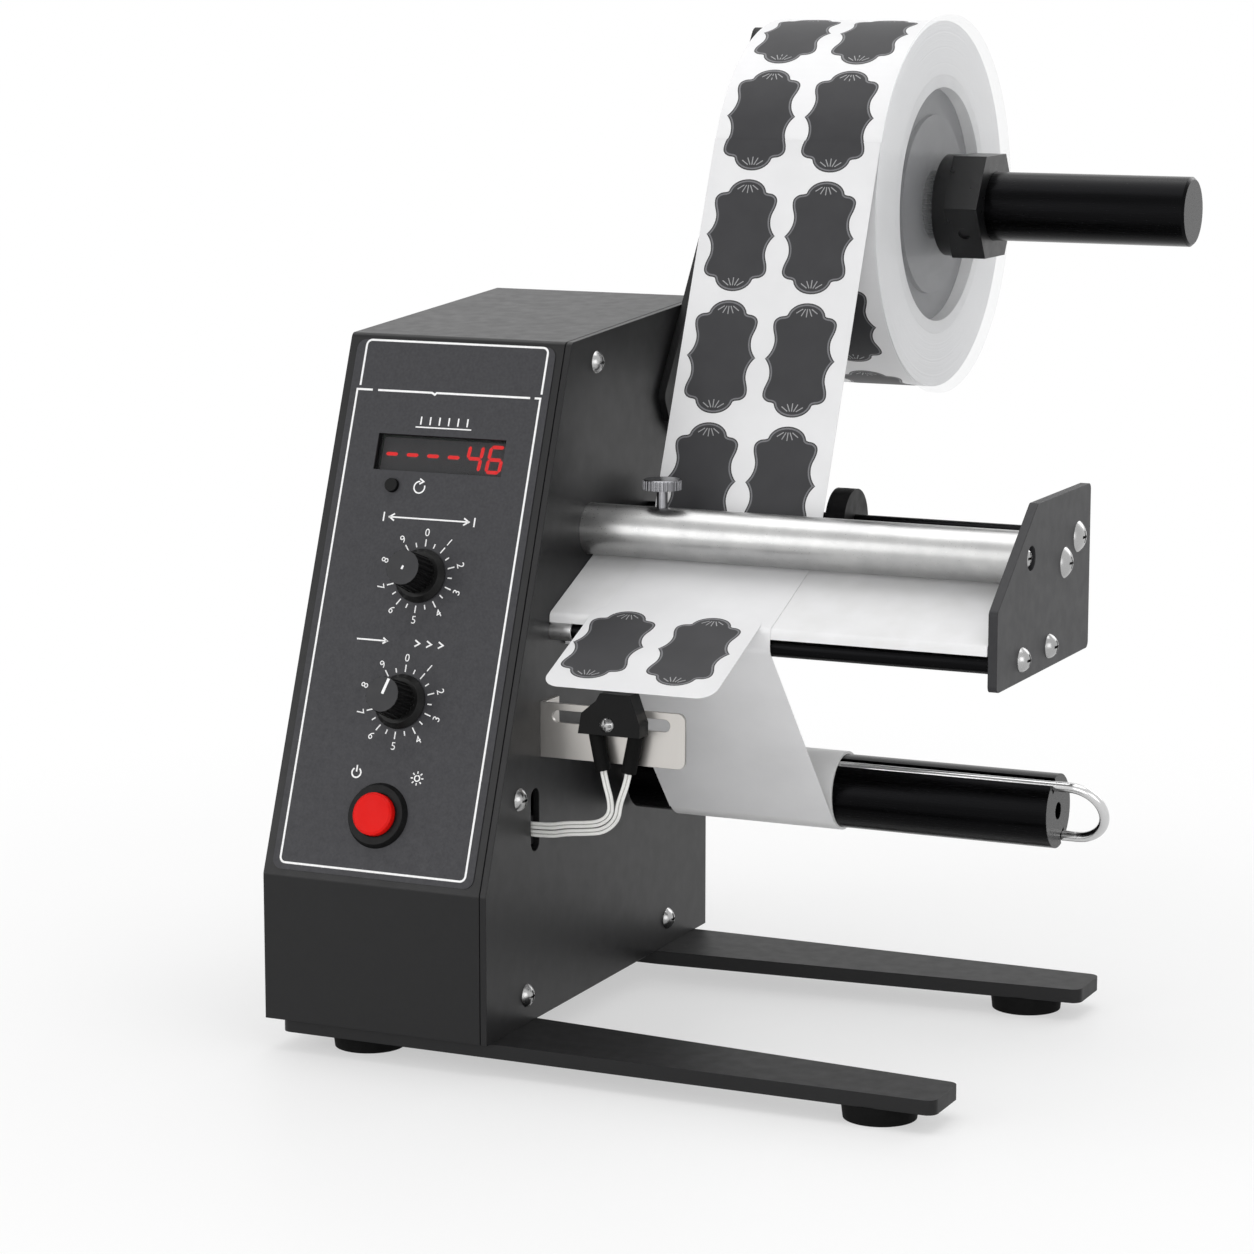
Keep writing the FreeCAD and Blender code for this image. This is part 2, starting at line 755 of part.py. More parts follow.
def stand_pieces():
    """Two foot bars with rubber feet."""
    outlines = {
        "front_foot_bar": [
            ("-bar_left", "front_bar_y"),
            ("bar_right", "front_bar_y"),
            ("bar_right", "front_bar_y + bar_tip_width"),
            ("0", "front_bar_y + bar_root_width"),
            ("-bar_left", "front_bar_y + bar_root_width"),
        ],
        "rear_foot_bar": [
            ("-bar_left", "rear_bar_back_y - bar_root_width"),
            ("0", "rear_bar_back_y - bar_root_width"),
            ("bar_right", "rear_bar_back_y - bar_tip_width"),
            ("bar_right", "rear_bar_back_y"),
            ("-bar_left", "rear_bar_back_y"),
        ],
    }
    tips = {"front_foot_bar": (0, 1, 2, 4), "rear_foot_bar": (0, 2, 3, 4)}
    for label, outline in outlines.items():
        bar = padded(outline, "bar_thickness", role="XY_Plane", corners=tips[label],
                     radius="bar_corner_radius")
        bar.Placement.Base = Vector(0, 0, -d.bar_thickness)
        rear = label == "rear_foot_bar"
        holes = [turn(spot - Z * d.overrun, Z, "screw_hole_radius", "foot_screw_depth + overrun")
                 for spot in foot_spots()[2 * rear:2 * rear + 2]]
        holes += [turn(spot - Z * 2 * d.overrun, Z, "screw_hole_radius", "3 * overrun")
                  for spot in bar_screw_spots()[2 * rear:2 * rear + 2]]
        node(label, cut(bar, *holes))
    feet = []
    screws = []
    for spot in foot_spots():
        bottom = spot - Z * d.foot_height
        rubber = taper(bottom, Z, "foot_rim_radius", "foot_radius", "foot_height")
        recess = turn(bottom - Z * d.overrun, Z, "foot_recess_radius", "foot_recess_depth + overrun")
        bore = turn(bottom, Z, "screw_clear_radius", "foot_height + overrun")
        feet.append(cut(rubber, recess, bore))
        seat = bottom + Z * d.foot_recess_depth
        screws.append(pan_screw(seat, Z,
                                length="foot_height - foot_recess_depth + foot_screw_depth - seat_gap"))
    node("rubber_feet", *feet)
    screws += [pan_screw(spot + Z * d.base_thickness, -Z,
                         length="base_thickness + bar_thickness - seat_gap")
               for spot in bar_screw_spots()]
    node("stand_screws", *screws)


def panel_pieces():
    """The control panel's overlay, display, knobs and buttons, in the panel's own plane."""
    front = -d.overlay_thickness
    overlay = padded(
        [
            ("overlay_left - case_width", "overlay_margin"),
            ("-overlay_right", "overlay_margin"),
            ("-overlay_right", "panel_length - overlay_margin"),
            ("overlay_left - case_width", "panel_length - overlay_margin"),
        ],
        "overlay_thickness", role="XZ_Plane", corners=(0, 1, 2, 3), radius="overlay_corner_radius",
    )
    node("panel_overlay", cut(overlay, *panel_openings()), frame=PANEL)

    window_low = Vector(-d.window_left - d.window_lip, d.case_wall, d.window_low - d.window_lip)
    window = block(window_low, "window_left - window_right + 2 * window_lip", "window_thickness",
                   "window_height + 2 * window_lip")
    node("display_window", window, frame=PANEL)
    digit_y = d.case_wall + d.window_thickness + d.digit_gap
    window_middle = -(d.window_left + d.window_right) / 2
    digit_low = d.window_low + (d.window_height - d.digit_height) / 2
    digits = []
    count = 6
    for place in range(count):
        x = window_middle + (place - (count - 1) / 2) * d.digit_pitch - d.digit_width / 2
        digits.append(block(Vector(x, digit_y, digit_low), "digit_width", "digit_depth", "digit_height"))
    node("digit_modules", *digits, frame=PANEL)
    board_y = digit_y + d.digit_depth
    board_left = -d.window_left - d.window_lip
    board = block(Vector(board_left, board_y, d.display_board_low),
                  "window_left - window_right + 2 * window_lip", "display_board_thickness",
                  "display_board_height")
    post_length = "window_thickness + digit_gap + digit_depth"
    post_z = d.display_board_low + d.standoff_radius
    posts = [turn(Vector(x, d.case_wall, post_z), Y, "standoff_radius", post_length)
             for x in (board_left + d.standoff_radius + d.reset_switch_size * 2 + d.overrun,
                       -d.window_right + d.window_lip - d.standoff_radius)]
    node("display_board", board, *posts, frame=PANEL)

    reset_end = d.reset_tail + d.reset_travel + d.button_clearance
    half_switch = d.reset_switch_size / 2
    node("reset_button", turn(Vector(-d.reset_u, front - d.reset_proud, d.reset_v), Y, "reset_radius",
                              "overlay_thickness + reset_proud + reset_tail"), frame=PANEL)
    depth = ("case_wall + window_thickness + digit_gap + digit_depth"
             " - reset_tail - reset_travel - button_clearance")
    reset_switch = block(Vector(-d.reset_u - half_switch, reset_end, d.reset_v - half_switch),
                         "reset_switch_size", depth, "reset_switch_size")
    behind = []
    for label, v in (("length_knob", d.length_knob_v), ("speed_knob", d.speed_knob_v)):
        behind += knob_pieces(label, Vector(-d.knob_u, 0, v), front)
    node("potentiometers", *behind, frame=PANEL)
    power_switch = power_pieces(Vector(-d.power_u, 0, d.power_v), front)
    node("panel_switches", reset_switch, power_switch, frame=PANEL)


def knob_pieces(label, centre, front):
    """A skirted, fluted knob on its shaft. Returns the potentiometer that holds them, and its nut."""
    wall_back = centre + Y * d.case_wall
    bush_front = centre + Y * (d.case_wall - d.pot_bush_length)
    can = turn(wall_back, Y, "pot_radius", "pot_depth")
    bush = turn(bush_front, Y, "pot_bush_radius", "pot_bush_length + pot_shaft_tail")
    bore = turn(bush_front - Y * d.overrun, Y, "pot_shaft_radius + running_gap",
                "pot_bush_length + pot_shaft_tail + overrun + running_gap")
    nut = doc.addObject("Part::Prism", "Nut")
    nut.Polygon = 6
    bind(nut, Circumradius="pot_nut_radius", Height="pot_nut_height")
    nut.Placement = Placement(centre + Y * front, Rotation(Z, -Y))
    shaft_front = centre + Y * (front - d.pot_shaft_length)
    shaft = turn(shaft_front, Y, "pot_shaft_radius",
                 "pot_shaft_length + overlay_thickness + case_wall + pot_shaft_tail")
    back = centre + Y * (front - d.knob_lift)
    skirt = taper(back, -Y, "knob_skirt_radius", "knob_skirt_top_radius", "knob_skirt_height")
    grip = taper(back, -Y, "knob_base_radius", "knob_top_radius", "knob_height")
    lean = math.degrees(math.atan2(d.knob_base_radius - d.knob_top_radius, d.knob_height))
    flutes = []
    for step in range(0, 360, 20):
        flute = turn(Vector(d.knob_base_radius, 0, 0), Z, "knob_flute_radius", "knob_height + overrun")
        flute.Placement.Rotation = Rotation(Y, -lean)
        start = back - Y * d.knob_skirt_height
        flutes.append(placed(flute, Placement(start, Rotation(Y, step) * Rotation(Z, -Y))))
    hollow = turn(back + Y * d.overrun, -Y, "knob_recess_radius", "knob_recess_depth + overrun")
    seat = turn(back + Y * d.overrun, -Y, "pot_shaft_radius + snug_gap",
                "pot_shaft_length - knob_lift + overrun")
    node(label, cut(fuse(skirt, cut(grip, *flutes)), hollow, seat), shaft, frame=PANEL)
    nut_hole = turn(bush_front, Y, "pot_bush_radius + snug_gap", "pot_bush_length")
    return [cut(fuse(can, bush), bore), cut(nut, nut_hole)]


def power_pieces(centre, front):
    """The round bezel and its push button. Returns the switch behind them."""
    bezel_front = centre + Y * (front - d.bezel_height)
    flange = taper(centre + Y * front, -Y, "bezel_radius", "bezel_radius - bezel_height / 2", "bezel_height")
    barrel = turn(centre + Y * front, Y, "barrel_radius", "barrel_length")
    bore = turn(bezel_front - Y * d.overrun, Y, "bezel_inner_radius",
                "bezel_height + barrel_length + 2 * overrun")
    node("power_bezel", cut(fuse(flange, barrel), bore), frame=PANEL)
    cap_front = centre + Y * (front - d.power_cap_proud)
    rim = taper(cap_front + Y * d.power_cap_rim, -Y, "power_cap_radius", "power_cap_radius - power_cap_rim",
                "power_cap_rim")
    cap = turn(cap_front + Y * d.power_cap_rim, Y, "power_cap_radius",
               "power_cap_proud - power_cap_rim + power_cap_tail")
    node("power_button", fuse(cap, rim), frame=PANEL)
    half = d.switch_size / 2
    low = Vector(-d.power_u - half, front + d.barrel_length, d.power_v - half)
    return block(low, "switch_size", "switch_depth", "switch_size")


def board_pieces():
    """The main board on its standoffs, the power supply and the mains inlet."""
    wall = -d.case_width + d.case_wall
    board_x = wall + d.standoff_height
    top = board_x + d.board_thickness
    low = Vector(board_x, d.board_low_y, d.board_low_z)
    posts = []
    for y in (d.standoff_inset, d.board_length - d.standoff_inset):
        for z in (d.standoff_inset, d.board_height - d.standoff_inset):
            posts.append(turn(Vector(wall, d.board_low_y + y, d.board_low_z + z), X, "standoff_radius",
                              "standoff_height"))
    board = block(low, "board_thickness", "board_length", "board_height")
    first = Vector(top, d.board_low_y, d.board_low_z)
    step = d.board_length / 4
    rise = d.board_height / 4
    parts = [turn(first + Y * step * place + Z * rise * 3, X, "capacitor_radius", "capacitor_height")
             for place in (1, 2, 3)]
    parts += [block(first + Y * step * place + Z * rise, "chip_height", "chip_size", "chip_size")
              for place in (1, 2)]
    parts.append(block(first + Y * step, "terminal_height", "terminal_length", "terminal_width"))
    node("main_board", board, *posts, *parts)

    supply_low = Vector(-d.case_width + d.supply_left, d.supply_low_y, d.base_thickness)
    box = block(supply_low, "supply_width", "supply_length", "supply_height")
    fins = []
    for place in range(1, 6):
        corner = supply_low + X * d.heat_fin_pitch * place + Z * d.supply_height
        fins.append(block(corner, "heat_fin_width", "supply_length", "heat_fin_height"))
    node("power_supply", fuse(box, *fins))

    face = Vector(-d.inlet_centre_x, d.case_depth, d.inlet_centre_z)
    room = d.seat_gap / 2
    body_corner = face - X * (d.inlet_width / 2 - room) - Z * (d.inlet_height / 2 - room)
    body = block(body_corner - Y * d.inlet_depth, "inlet_width - seat_gap", "inlet_depth",
                 "inlet_height - seat_gap")
    flange = block(face - X * d.inlet_flange_width / 2 - Z * d.inlet_flange_height / 2,
                   "inlet_flange_width", "inlet_flange_thickness", "inlet_flange_height")
    socket = block(face - X * (d.inlet_width / 2 - d.inlet_wall) - Y * (d.inlet_depth - d.inlet_floor)
                   - Z * (d.inlet_height / 2 - d.inlet_wall),
                   "inlet_width - 2 * inlet_wall", "inlet_depth + overrun", "inlet_height - 2 * inlet_wall")
    sides = [face + X * side * d.inlet_screw_pitch / 2 for side in (-1, 1)]
    holes = [turn(spot - Y * d.overrun, Y, "screw_clear_radius", "2 * overrun") for spot in sides]
    housing = cut(fuse(body, flange), socket, *holes)
    back = face - Y * (d.inlet_depth - d.inlet_floor)
    pins = []
    for side, lift in ((-1, -d.inlet_pin_height / 2), (0, 0.0), (1, -d.inlet_pin_height / 2)):
        corner = back + X * (side * d.inlet_pin_pitch - d.inlet_pin_width / 2)
        corner += Z * (lift - d.inlet_pin_width)
        pins.append(block(corner, "inlet_pin_width", "inlet_pin_length", "inlet_pin_height"))
    node("power_inlet", housing, *pins)
    case_screws.extend(pan_screw(spot + Y * d.inlet_flange_thickness, -Y) for spot in sides)


def drive_pieces():
    """The gear motor inside the case and the take-up roller that it turns."""
    axis = at_side(d.take_up_y, d.take_up_z)
    inside = axis - X * d.side_thickness
    box_x = -d.side_thickness - d.bearing_flange - d.gearbox_length
    box_low = Vector(box_x, d.take_up_y - d.gearbox_width / 2, d.take_up_z - d.gearbox_drop)
    housing = block(box_low, "gearbox_length", "gearbox_width", "gearbox_height")
    bore = turn(axis - X * (d.shaft_inner_end + d.seat_gap), X, "shaft_radius + running_gap",
                "gearbox_length + overrun")
    corners = [Vector(box_x + d.gearbox_length, box_low.y + y, box_low.z + z)
               for y in (d.motor_screw_inset, d.gearbox_width - d.motor_screw_inset)
               for z in (d.motor_screw_inset, d.gearbox_height - d.motor_screw_inset)]
    spacers = [turn(corner, X, "pan_head_radius", "bearing_flange") for corner in corners]
    can = turn(Vector(box_x, axis.y, axis.z) + Z * d.motor_rise, -X, "motor_radius", "motor_length")
    node("gear_motor", cut(fuse(housing, *spacers), bore), can)
    flange = turn(inside, -X, "bearing_flange_radius", "bearing_flange")
    race = turn(inside - X * d.bearing_flange, X, "bearing_radius",
                "bearing_flange + side_thickness + bearing_flange")
    hole = turn(inside - X * d.overrun, X, "shaft_radius + running_gap", "3 * overrun")
    node("shaft_bearing", cut(fuse(flange, race), hole))

    shaft_start = axis - X * d.shaft_inner_end
    node("take_up_shaft", turn(shaft_start, X, "shaft_radius", "shaft_inner_end + shaft_grip"))
    start = axis + X * d.roller_start
    roller = turn(start, X, "roller_radius", "roller_length")
    bores = [
        turn(start - X * d.overrun, X, "shaft_radius + snug_gap", "shaft_grip - roller_start + overrun"),
        turn(start, X, "roller_hole_radius", "roller_length + overrun"),
    ]
    grooves = []
    for half_turn in (0, 180):
        slot = block(Vector(-d.overrun, -d.groove_width / 2, d.roller_radius - d.groove_depth),
                     "roller_length + 2 * overrun", "groove_width", "groove_depth + overrun")
        grooves.append(placed(slot, Placement(start, Rotation(X, d.groove_angle + half_turn))))
    node("take_up_roller", cut(roller, *bores, *grooves))
    wound_start = axis + X * d.web_left
    node("wound_backing", cut(turn(wound_start, X, "wound_radius", "web_width"),
                              turn(wound_start - X * d.overrun, X, "roller_radius + layer_gap",
                                   "web_width + 2 * overrun")))
    legs = []
    for side in (-1, 1):
        legs.append(turn(Vector(d.clip_leg_start, 0, side * d.clip_radius), X, "wire_radius",
                         "clip_bend_x - clip_leg_start"))
    bend = doc.addObject("Part::Torus", "Bend")
    bind(bend, Radius1="clip_radius", Radius2="wire_radius")
    bend.Angle3 = 180
    bend.Placement = Placement(Vector(d.clip_bend_x, 0, 0), Rotation(X, 90) * Rotation(Z, -90))
    node("paper_clip", placed(fuse(*legs, bend), Placement(axis, Rotation(X, d.groove_angle))))


def web_path(stops):
    """Straight runs and arcs of a web that passes round stops (centre, radius, side).

    Side is 1 where the centre lies left of the travel, seen from the end plate, and -1 where it lies
    right. Each run is its start, its end and the direction to its left."""
    runs = []
    for (first, near, near_side), (second, far, far_side) in zip(stops, stops[1:]):
        gap = second - first
        shift = far_side * far - near_side * near
        along = Rotation(X, -math.degrees(math.asin(shift / gap.Length))).multVec(gap).normalize()
        left = Rotation(X, 90).multVec(along)
        runs.append((first - left * near * near_side, second - left * far * far_side, left))
    return runs


def web_strip(stops, thickness, left_x, width):
    """A sheet of the given thickness along a web path, from the first stop to the last."""
    runs = web_path(stops)
    half = thickness / 2
    sides = {}
    for shift in (-half, half):
        edges = []
        for place, (start, end, left) in enumerate(runs):
            if place:
                centre, radius, side = stops[place]
                before = runs[place - 1][2]
                reach = radius - side * shift
                middle = (before + left).normalize()
                corners = [centre - vector * side * reach for vector in (before, middle, left)]
                edges.append(Part.Arc(*corners).toShape())
            edges.append(Part.LineSegment(start + left * shift, end + left * shift).toShape())
        sides[shift] = edges
    first, last = runs[0], runs[-1]
    caps = [
        Part.LineSegment(first[0] - first[2] * half, first[0] + first[2] * half).toShape(),
        Part.LineSegment(last[1] - last[2] * half, last[1] + last[2] * half).toShape(),
    ]
    wire = Part.Wire(Part.__sortEdges__(sides[-half] + sides[half] + caps))
    strip = Part.Face(wire).extrude(X * width)
    strip.translate(X * left_x)
    return strip


def web_pieces():
    """The label web from the roll to the take-up roller, and the label that has peeled off."""
    half = d.web_thickness / 2
    clear = d.web_gap + half
    front = at_side(d.platform_front_y, d.platform_front_z)
    slope = (at_side(d.platform_back_y, d.platform_back_z) - front).normalize()
    up = X.cross(slope).normalize()
    bend = d.platform_bend_radius
    inward = slope * bend * (1 + up.y) / slope.y - up * bend
    stops = [
        (at_side(d.supply_y, d.supply_z), d.roll_radius + clear, 1),
        (at_side(d.tube_y, d.tube_z), d.tube_radius + 2 * d.layer_gap + half, -1),
        (front + inward, bend + d.layer_gap + half, 1),
        (at_side(d.peel_bar_y, d.peel_bar_z), d.peel_bar_radius + clear, 1),
        (at_side(d.take_up_y, d.take_up_z), d.wound_radius + clear, 1),
    ]
    node("label_web", made("Web", web_strip(stops, d.web_thickness, d.web_left, d.web_width)))

    base = front + up * (d.layer_gap * 2 + d.web_thickness) + slope * d.label_overlap
    width = d.web_width - 2 * d.label_side_margin
    sheet_low = base + X * (d.web_left + d.label_side_margin - d.label_drift)
    corners = [sheet_low, sheet_low + X * width, sheet_low + X * width - slope * d.label_length,
               sheet_low - slope * d.label_length]
    flat = Part.Face(Part.makePolygon(corners + corners[:1]))
    label = flat.extrude(up * d.label_thickness)
    upright = [edge for edge in label.Edges
               if (edge.Vertexes[1].Point - edge.Vertexes[0].Point).cross(up).Length < d.layer_gap]
    node("peeled_label", made("Label", label.makeFillet(d.label_corner_radius, upright)))


def guide_pieces():
    """Tube, rods, collars, platform, peel bar and end plate."""
    tube_axis = at_side(d.tube_y, d.tube_z)
    far = X * d.clear_width
    screw_hole = turn(tube_axis + X * d.thumb_x, Z, "thumb_stem_radius + running_gap",
                      "tube_radius + overrun")
    tube = cut(ring(tube_axis, X, "tube_radius", "tube_radius - tube_wall", "clear_width"), screw_hole)
    plug_radius = "tube_radius - tube_wall - snug_gap"
    plugs = [turn(tube_axis, X, plug_radius, "tube_plug_length"),
             turn(tube_axis + far, -X, plug_radius, "tube_plug_length")]
    holes = [turn(tube_axis - X * d.overrun, X, "screw_hole_radius", "tube_plug_length + 2 * overrun"),
             turn(tube_axis + far + X * d.overrun, -X, "screw_hole_radius", "tube_plug_length + 2 * overrun")]
    node("guide_tube", tube, cut(fuse(*plugs), *holes))
    for label, y, z in (("guide_rod", d.guide_rod_y, d.guide_rod_z),
                        ("tie_rod", d.tie_rod_y, d.tie_rod_z)):
        axis = at_side(y, z)
        rod = turn(axis, X, "rod_radius", "clear_width")
        taps = [turn(axis - X * d.overrun, X, "screw_hole_radius", "side_screw_length + 2 * overrun"),
                turn(axis + far + X * d.overrun, -X, "screw_hole_radius", "side_screw_length + 2 * overrun")]
        node(label, cut(rod, *taps))

    for label, x in (("guide_collar_left", d.left_collar_x), ("guide_collar_right", d.right_collar_x)):
        start = at_side(d.guide_rod_y, d.guide_rod_z, x)
        middle = start + X * d.collar_width / 2
        wheel = ring(start, X, "collar_radius", "rod_radius + running_gap", "collar_width")
        tap = turn(middle, Z, "collar_screw_radius", "collar_radius + overrun")
        screw = turn(middle + Z * (d.rod_radius + d.running_gap), Z, "collar_screw_radius - snug_gap",
                     "collar_radius - rod_radius - running_gap - collar_screw_radius")
        node(label, cut(wheel, tap), screw)

    stem_start = tube_axis + X * d.thumb_x + Z * (d.tube_radius - d.thumb_tail)
    stem = turn(stem_start, Z, "thumb_stem_radius", "thumb_tail + thumb_stem_length")
    head_start = stem_start + Z * (d.thumb_tail + d.thumb_stem_length)
    wheel = turn(head_start, Z, "thumb_head_radius", "thumb_head_height - thumb_head_chamfer")
    rim = taper(head_start + Z * (d.thumb_head_height - d.thumb_head_chamfer), Z, "thumb_head_radius",
                "thumb_head_radius - thumb_head_chamfer", "thumb_head_chamfer")
    knurls = []
    for step in range(0, 360, 12):
        spot = Rotation(Z, step).multVec(X * d.thumb_head_radius)
        knurls.append(turn(head_start + spot - Z * d.overrun, Z, "knurl_radius",
                           "thumb_head_height + 2 * overrun"))
    node("thumbscrew", fuse(stem, cut(fuse(wheel, rim), *knurls)))

    platform_pieces(far)


def platform_pieces(far):
    """The bent peeling platform with its end flanges, the peel bar and the end plate."""
    profile = [
        ("platform_front_y", "platform_front_z"),
        ("platform_back_y", "platform_back_z"),
        ("platform_back_y", "platform_flange_high"),
        ("platform_back_y - platform_thickness", "platform_flange_high"),
        ("platform_back_y - platform_thickness", "platform_under_back_z"),
        ("platform_front_y + platform_thickness", "platform_under_front_z"),
        ("platform_front_y + platform_thickness", "platform_front_z - platform_lip"),
        ("platform_front_y", "platform_front_z - platform_lip"),
    ]
    top = padded(profile, "clear_width - 2 * seat_gap", corners=(0, 1), radius="platform_bend_radius")
    top.Placement.Base = Vector(d.seat_gap, 0, 0)
    flange_outline = [
        ("peel_bar_y + peel_end_radius + overrun", "platform_flange_low"),
        ("platform_flange_back", "platform_flange_low"),
        ("platform_flange_back", "platform_flange_high"),
        ("platform_back_y", "platform_back_z - platform_thickness"),
        ("peel_bar_y + peel_end_radius + overrun", "platform_flange_high"),
    ]
    spots = [(d.platform_screw_front_y, d.platform_screw_z), (d.platform_screw_back_y, d.platform_screw_z)]
    flanges = []
    for x in (d.seat_gap, d.clear_width - d.seat_gap - d.platform_thickness):
        flange = padded(flange_outline, "platform_thickness")
        flange.Placement.Base = Vector(x, 0, 0)
        flanges.append(flange)
    holes = [turn(at_side(y, z, -d.overrun), X, "screw_hole_radius", "clear_width + 2 * overrun")
             for y, z in spots]
    node("platform", cut(fuse(top, *flanges), *holes))

    bar_axis = at_side(d.peel_bar_y, d.peel_bar_z)
    sleeve_start = bar_axis + X * (d.peel_end_length + d.seat_gap)
    core = turn(bar_axis, X, "peel_shaft_radius", "clear_width")
    shoulder = turn(bar_axis, X, "peel_end_radius", "peel_end_length")
    node("peel_shaft", fuse(core, shoulder))
    node("peel_bar", ring(sleeve_start, X, "peel_bar_radius", "peel_shaft_radius + running_gap",
                          "clear_width - peel_end_length - 2 * seat_gap"))

    end = padded(
        [
            ("end_plate_front", "end_plate_low"),
            ("end_plate_front", "end_plate_knee"),
            ("end_plate_top_front", "end_plate_top"),
            ("end_plate_back", "end_plate_top"),
            ("end_plate_back", "end_plate_low"),
        ],
        "end_plate_thickness", corners=(0, 1, 2, 3, 4), radius="end_plate_corner_radius",
    )
    end.Placement.Base = far
    bores = [turn(at_side(y, z, d.clear_width - d.overrun), X, "screw_clear_radius", "3 * overrun")
             for y, z in fixing_spots()]
    seat = far + X * d.end_plate_thickness
    sunk = seat + at_side(*fixing_spots()[0], -d.tube_screw_sink)
    bores.append(turn(sunk, X, "pan_head_radius + seat_gap", "tube_screw_sink + overrun"))
    node("end_plate", cut(end, *bores))
    plain = "end_plate_thickness + side_screw_length - seat_gap"
    screws = [pan_screw(sunk, -X, length=plain + " - tube_screw_sink", head_height="tube_screw_sink")]
    screws += [pan_screw(seat + at_side(y, z), -X, "rod_head_radius", "rod_head_height", length=plain)
               for y, z in fixing_spots()[1:3]]
    screws += [pan_screw(seat + at_side(y, z), -X, "end_head_radius", "end_head_height",
                         length="end_plate_thickness + platform_thickness + seat_gap") for y, z in spots]
    node("end_plate_screws", *screws)
    inside = X * -d.side_thickness
    case_screws.extend(pan_screw(inside + at_side(y, z), X,
                                 length="side_thickness + side_screw_length - seat_gap")
                       for y, z in fixing_spots()[:3])
    case_screws.extend(pan_screw(inside + at_side(y, z), X,
                                 length="side_thickness + platform_thickness + seat_gap")
                       for y, z in spots)


def sensor_pieces():
    """The slotted bracket, the sliding sensor and its wires."""
    front = d.bracket_front_y
    plate = padded(
        [
            ("0", "bracket_low"),
            ("bracket_length", "bracket_low"),
            ("bracket_length", "bracket_high"),
            ("0", "bracket_high"),
        ],
        "bracket_thickness", role="XZ_Plane", corners=(1, 2), radius="bracket_corner_radius",
    )
    plate.Placement.Base = Vector(0, front + d.bracket_thickness, 0)
    flange = block(Vector(0, front, d.bracket_low), "bracket_thickness",
                   "bracket_thickness + bracket_flange", "bracket_high - bracket_low")
    half = d.bracket_slot_height / 2
    slot_low = Vector(d.bracket_slot_start + half, front - d.overrun, d.sensor_z - half)
    slot = [block(slot_low, "bracket_slot_end - bracket_slot_start - bracket_slot_height",
                  "2 * overrun", "bracket_slot_height")]
    for x in (d.bracket_slot_start + half, d.bracket_slot_end - half):
        spot = Vector(x, front - d.overrun, d.sensor_z)
        slot.append(turn(spot, Y, "bracket_slot_height / 2", "2 * overrun"))
    taps = [turn(at_side(y, z, -d.overrun), X, "screw_hole_radius", "3 * overrun")
            for y, z in bracket_spots()]
    node("sensor_bracket", cut(fuse(plate, flange), *slot, *taps))
    case_screws.extend(pan_screw(X * -d.side_thickness + at_side(y, z), X,
                                 length="side_thickness + bracket_thickness + seat_gap")
                       for y, z in bracket_spots())

    outline = [
        ("sensor_x - sensor_left_foot", "sensor_z - sensor_drop"),
        ("sensor_x - sensor_left_shoulder", "sensor_z + sensor_shoulder_rise"),
        ("sensor_x - sensor_left_neck", "sensor_z + sensor_neck_rise"),
        ("sensor_x - sensor_left_top", "sensor_z + sensor_rise"),
        ("sensor_x + sensor_right_top", "sensor_z + sensor_rise"),
        ("sensor_x + sensor_right_foot", "sensor_z + sensor_bevel_rise"),
        ("sensor_x + sensor_right_foot", "sensor_z - sensor_drop"),
    ]
    body = padded(outline, "sensor_depth", role="XZ_Plane")
    body.Placement.Base = Vector(0, front - d.running_gap, 0)
    key = block(Vector(d.sensor_x - d.bracket_slot_height, front - d.running_gap - d.sensor_key_gap,
                       d.sensor_z - half + d.sensor_key_gap),
                "2 * bracket_slot_height", "bracket_thickness + sensor_key_gap",
                "bracket_slot_height - 2 * sensor_key_gap")
    centre = Vector(d.sensor_x, front, d.sensor_z)
    bore = turn(centre - Y * (d.sensor_depth + d.overrun), Y, "sensor_screw_radius",
                "sensor_depth + 2 * overrun")
    node("sensor_block", cut(fuse(body, key), bore))
    reach = "sensor_depth + bracket_thickness + sensor_nut_thickness"
    seat = centre - Y * (d.sensor_depth + d.running_gap)
    screw = pan_screw(seat, Y, "sensor_head_radius", "sensor_head_height",
                      "sensor_screw_radius - snug_gap", reach)
    nut_low = centre + Vector(-d.sensor_nut_width / 2, d.bracket_thickness + d.running_gap,
                              -d.sensor_nut_height / 2)
    nut = cut(block(nut_low, "sensor_nut_width", "sensor_nut_thickness", "sensor_nut_height"),
              turn(centre, Y, "sensor_screw_radius", f"{reach} + overrun"))
    node("sensor_screw", screw, nut)
    node("sensor_boots", *[cut(turn(boot_top(side), boot_way(side), "boot_radius", "boot_length"), body)
                           for side in ("left", "right")])
    node("sensor_connector", block(Vector(-d.side_thickness - d.connector_depth,
                                          d.cable_slot_y - d.connector_width / 2, d.connector_low),
                                   "connector_depth", "connector_width", "connector_height"))


def boot_top(side):
    """Where a boot leaves the sensor block's underside."""
    reach = -d.boot_left_reach if side == "left" else d.boot_right_reach
    y = d.bracket_front_y - d.running_gap - d.sensor_depth / 2
    return Vector(d.sensor_x + reach, y, d.sensor_z - d.sensor_drop)


def boot_way(side):
    return Vector(getattr(d, f"boot_{side}_lean"), 0, -d.boot_length).normalize()


# The middle line of each pair of sensor wires between its boot and the slot, as (x, y, z) in the
# working frame. These points are chosen by hand.
WIRE_ROUTES = {
    "left": [(31.4, 42.8, 88.2), (31.4, 42.6, 82.9), (27.2, 42.4, 79.3), (20.4, 42.2, 78.2), (13, 42, 77.6),
             (6, 42, 76)],
    "right": [(34.9, 42.8, 87.6), (34.2, 42.6, 81.4), (28.8, 42.4, 76.4), (21, 42.2, 75.2),
              (13.4, 42, 74.5), (6.6, 42, 72.9)],
}


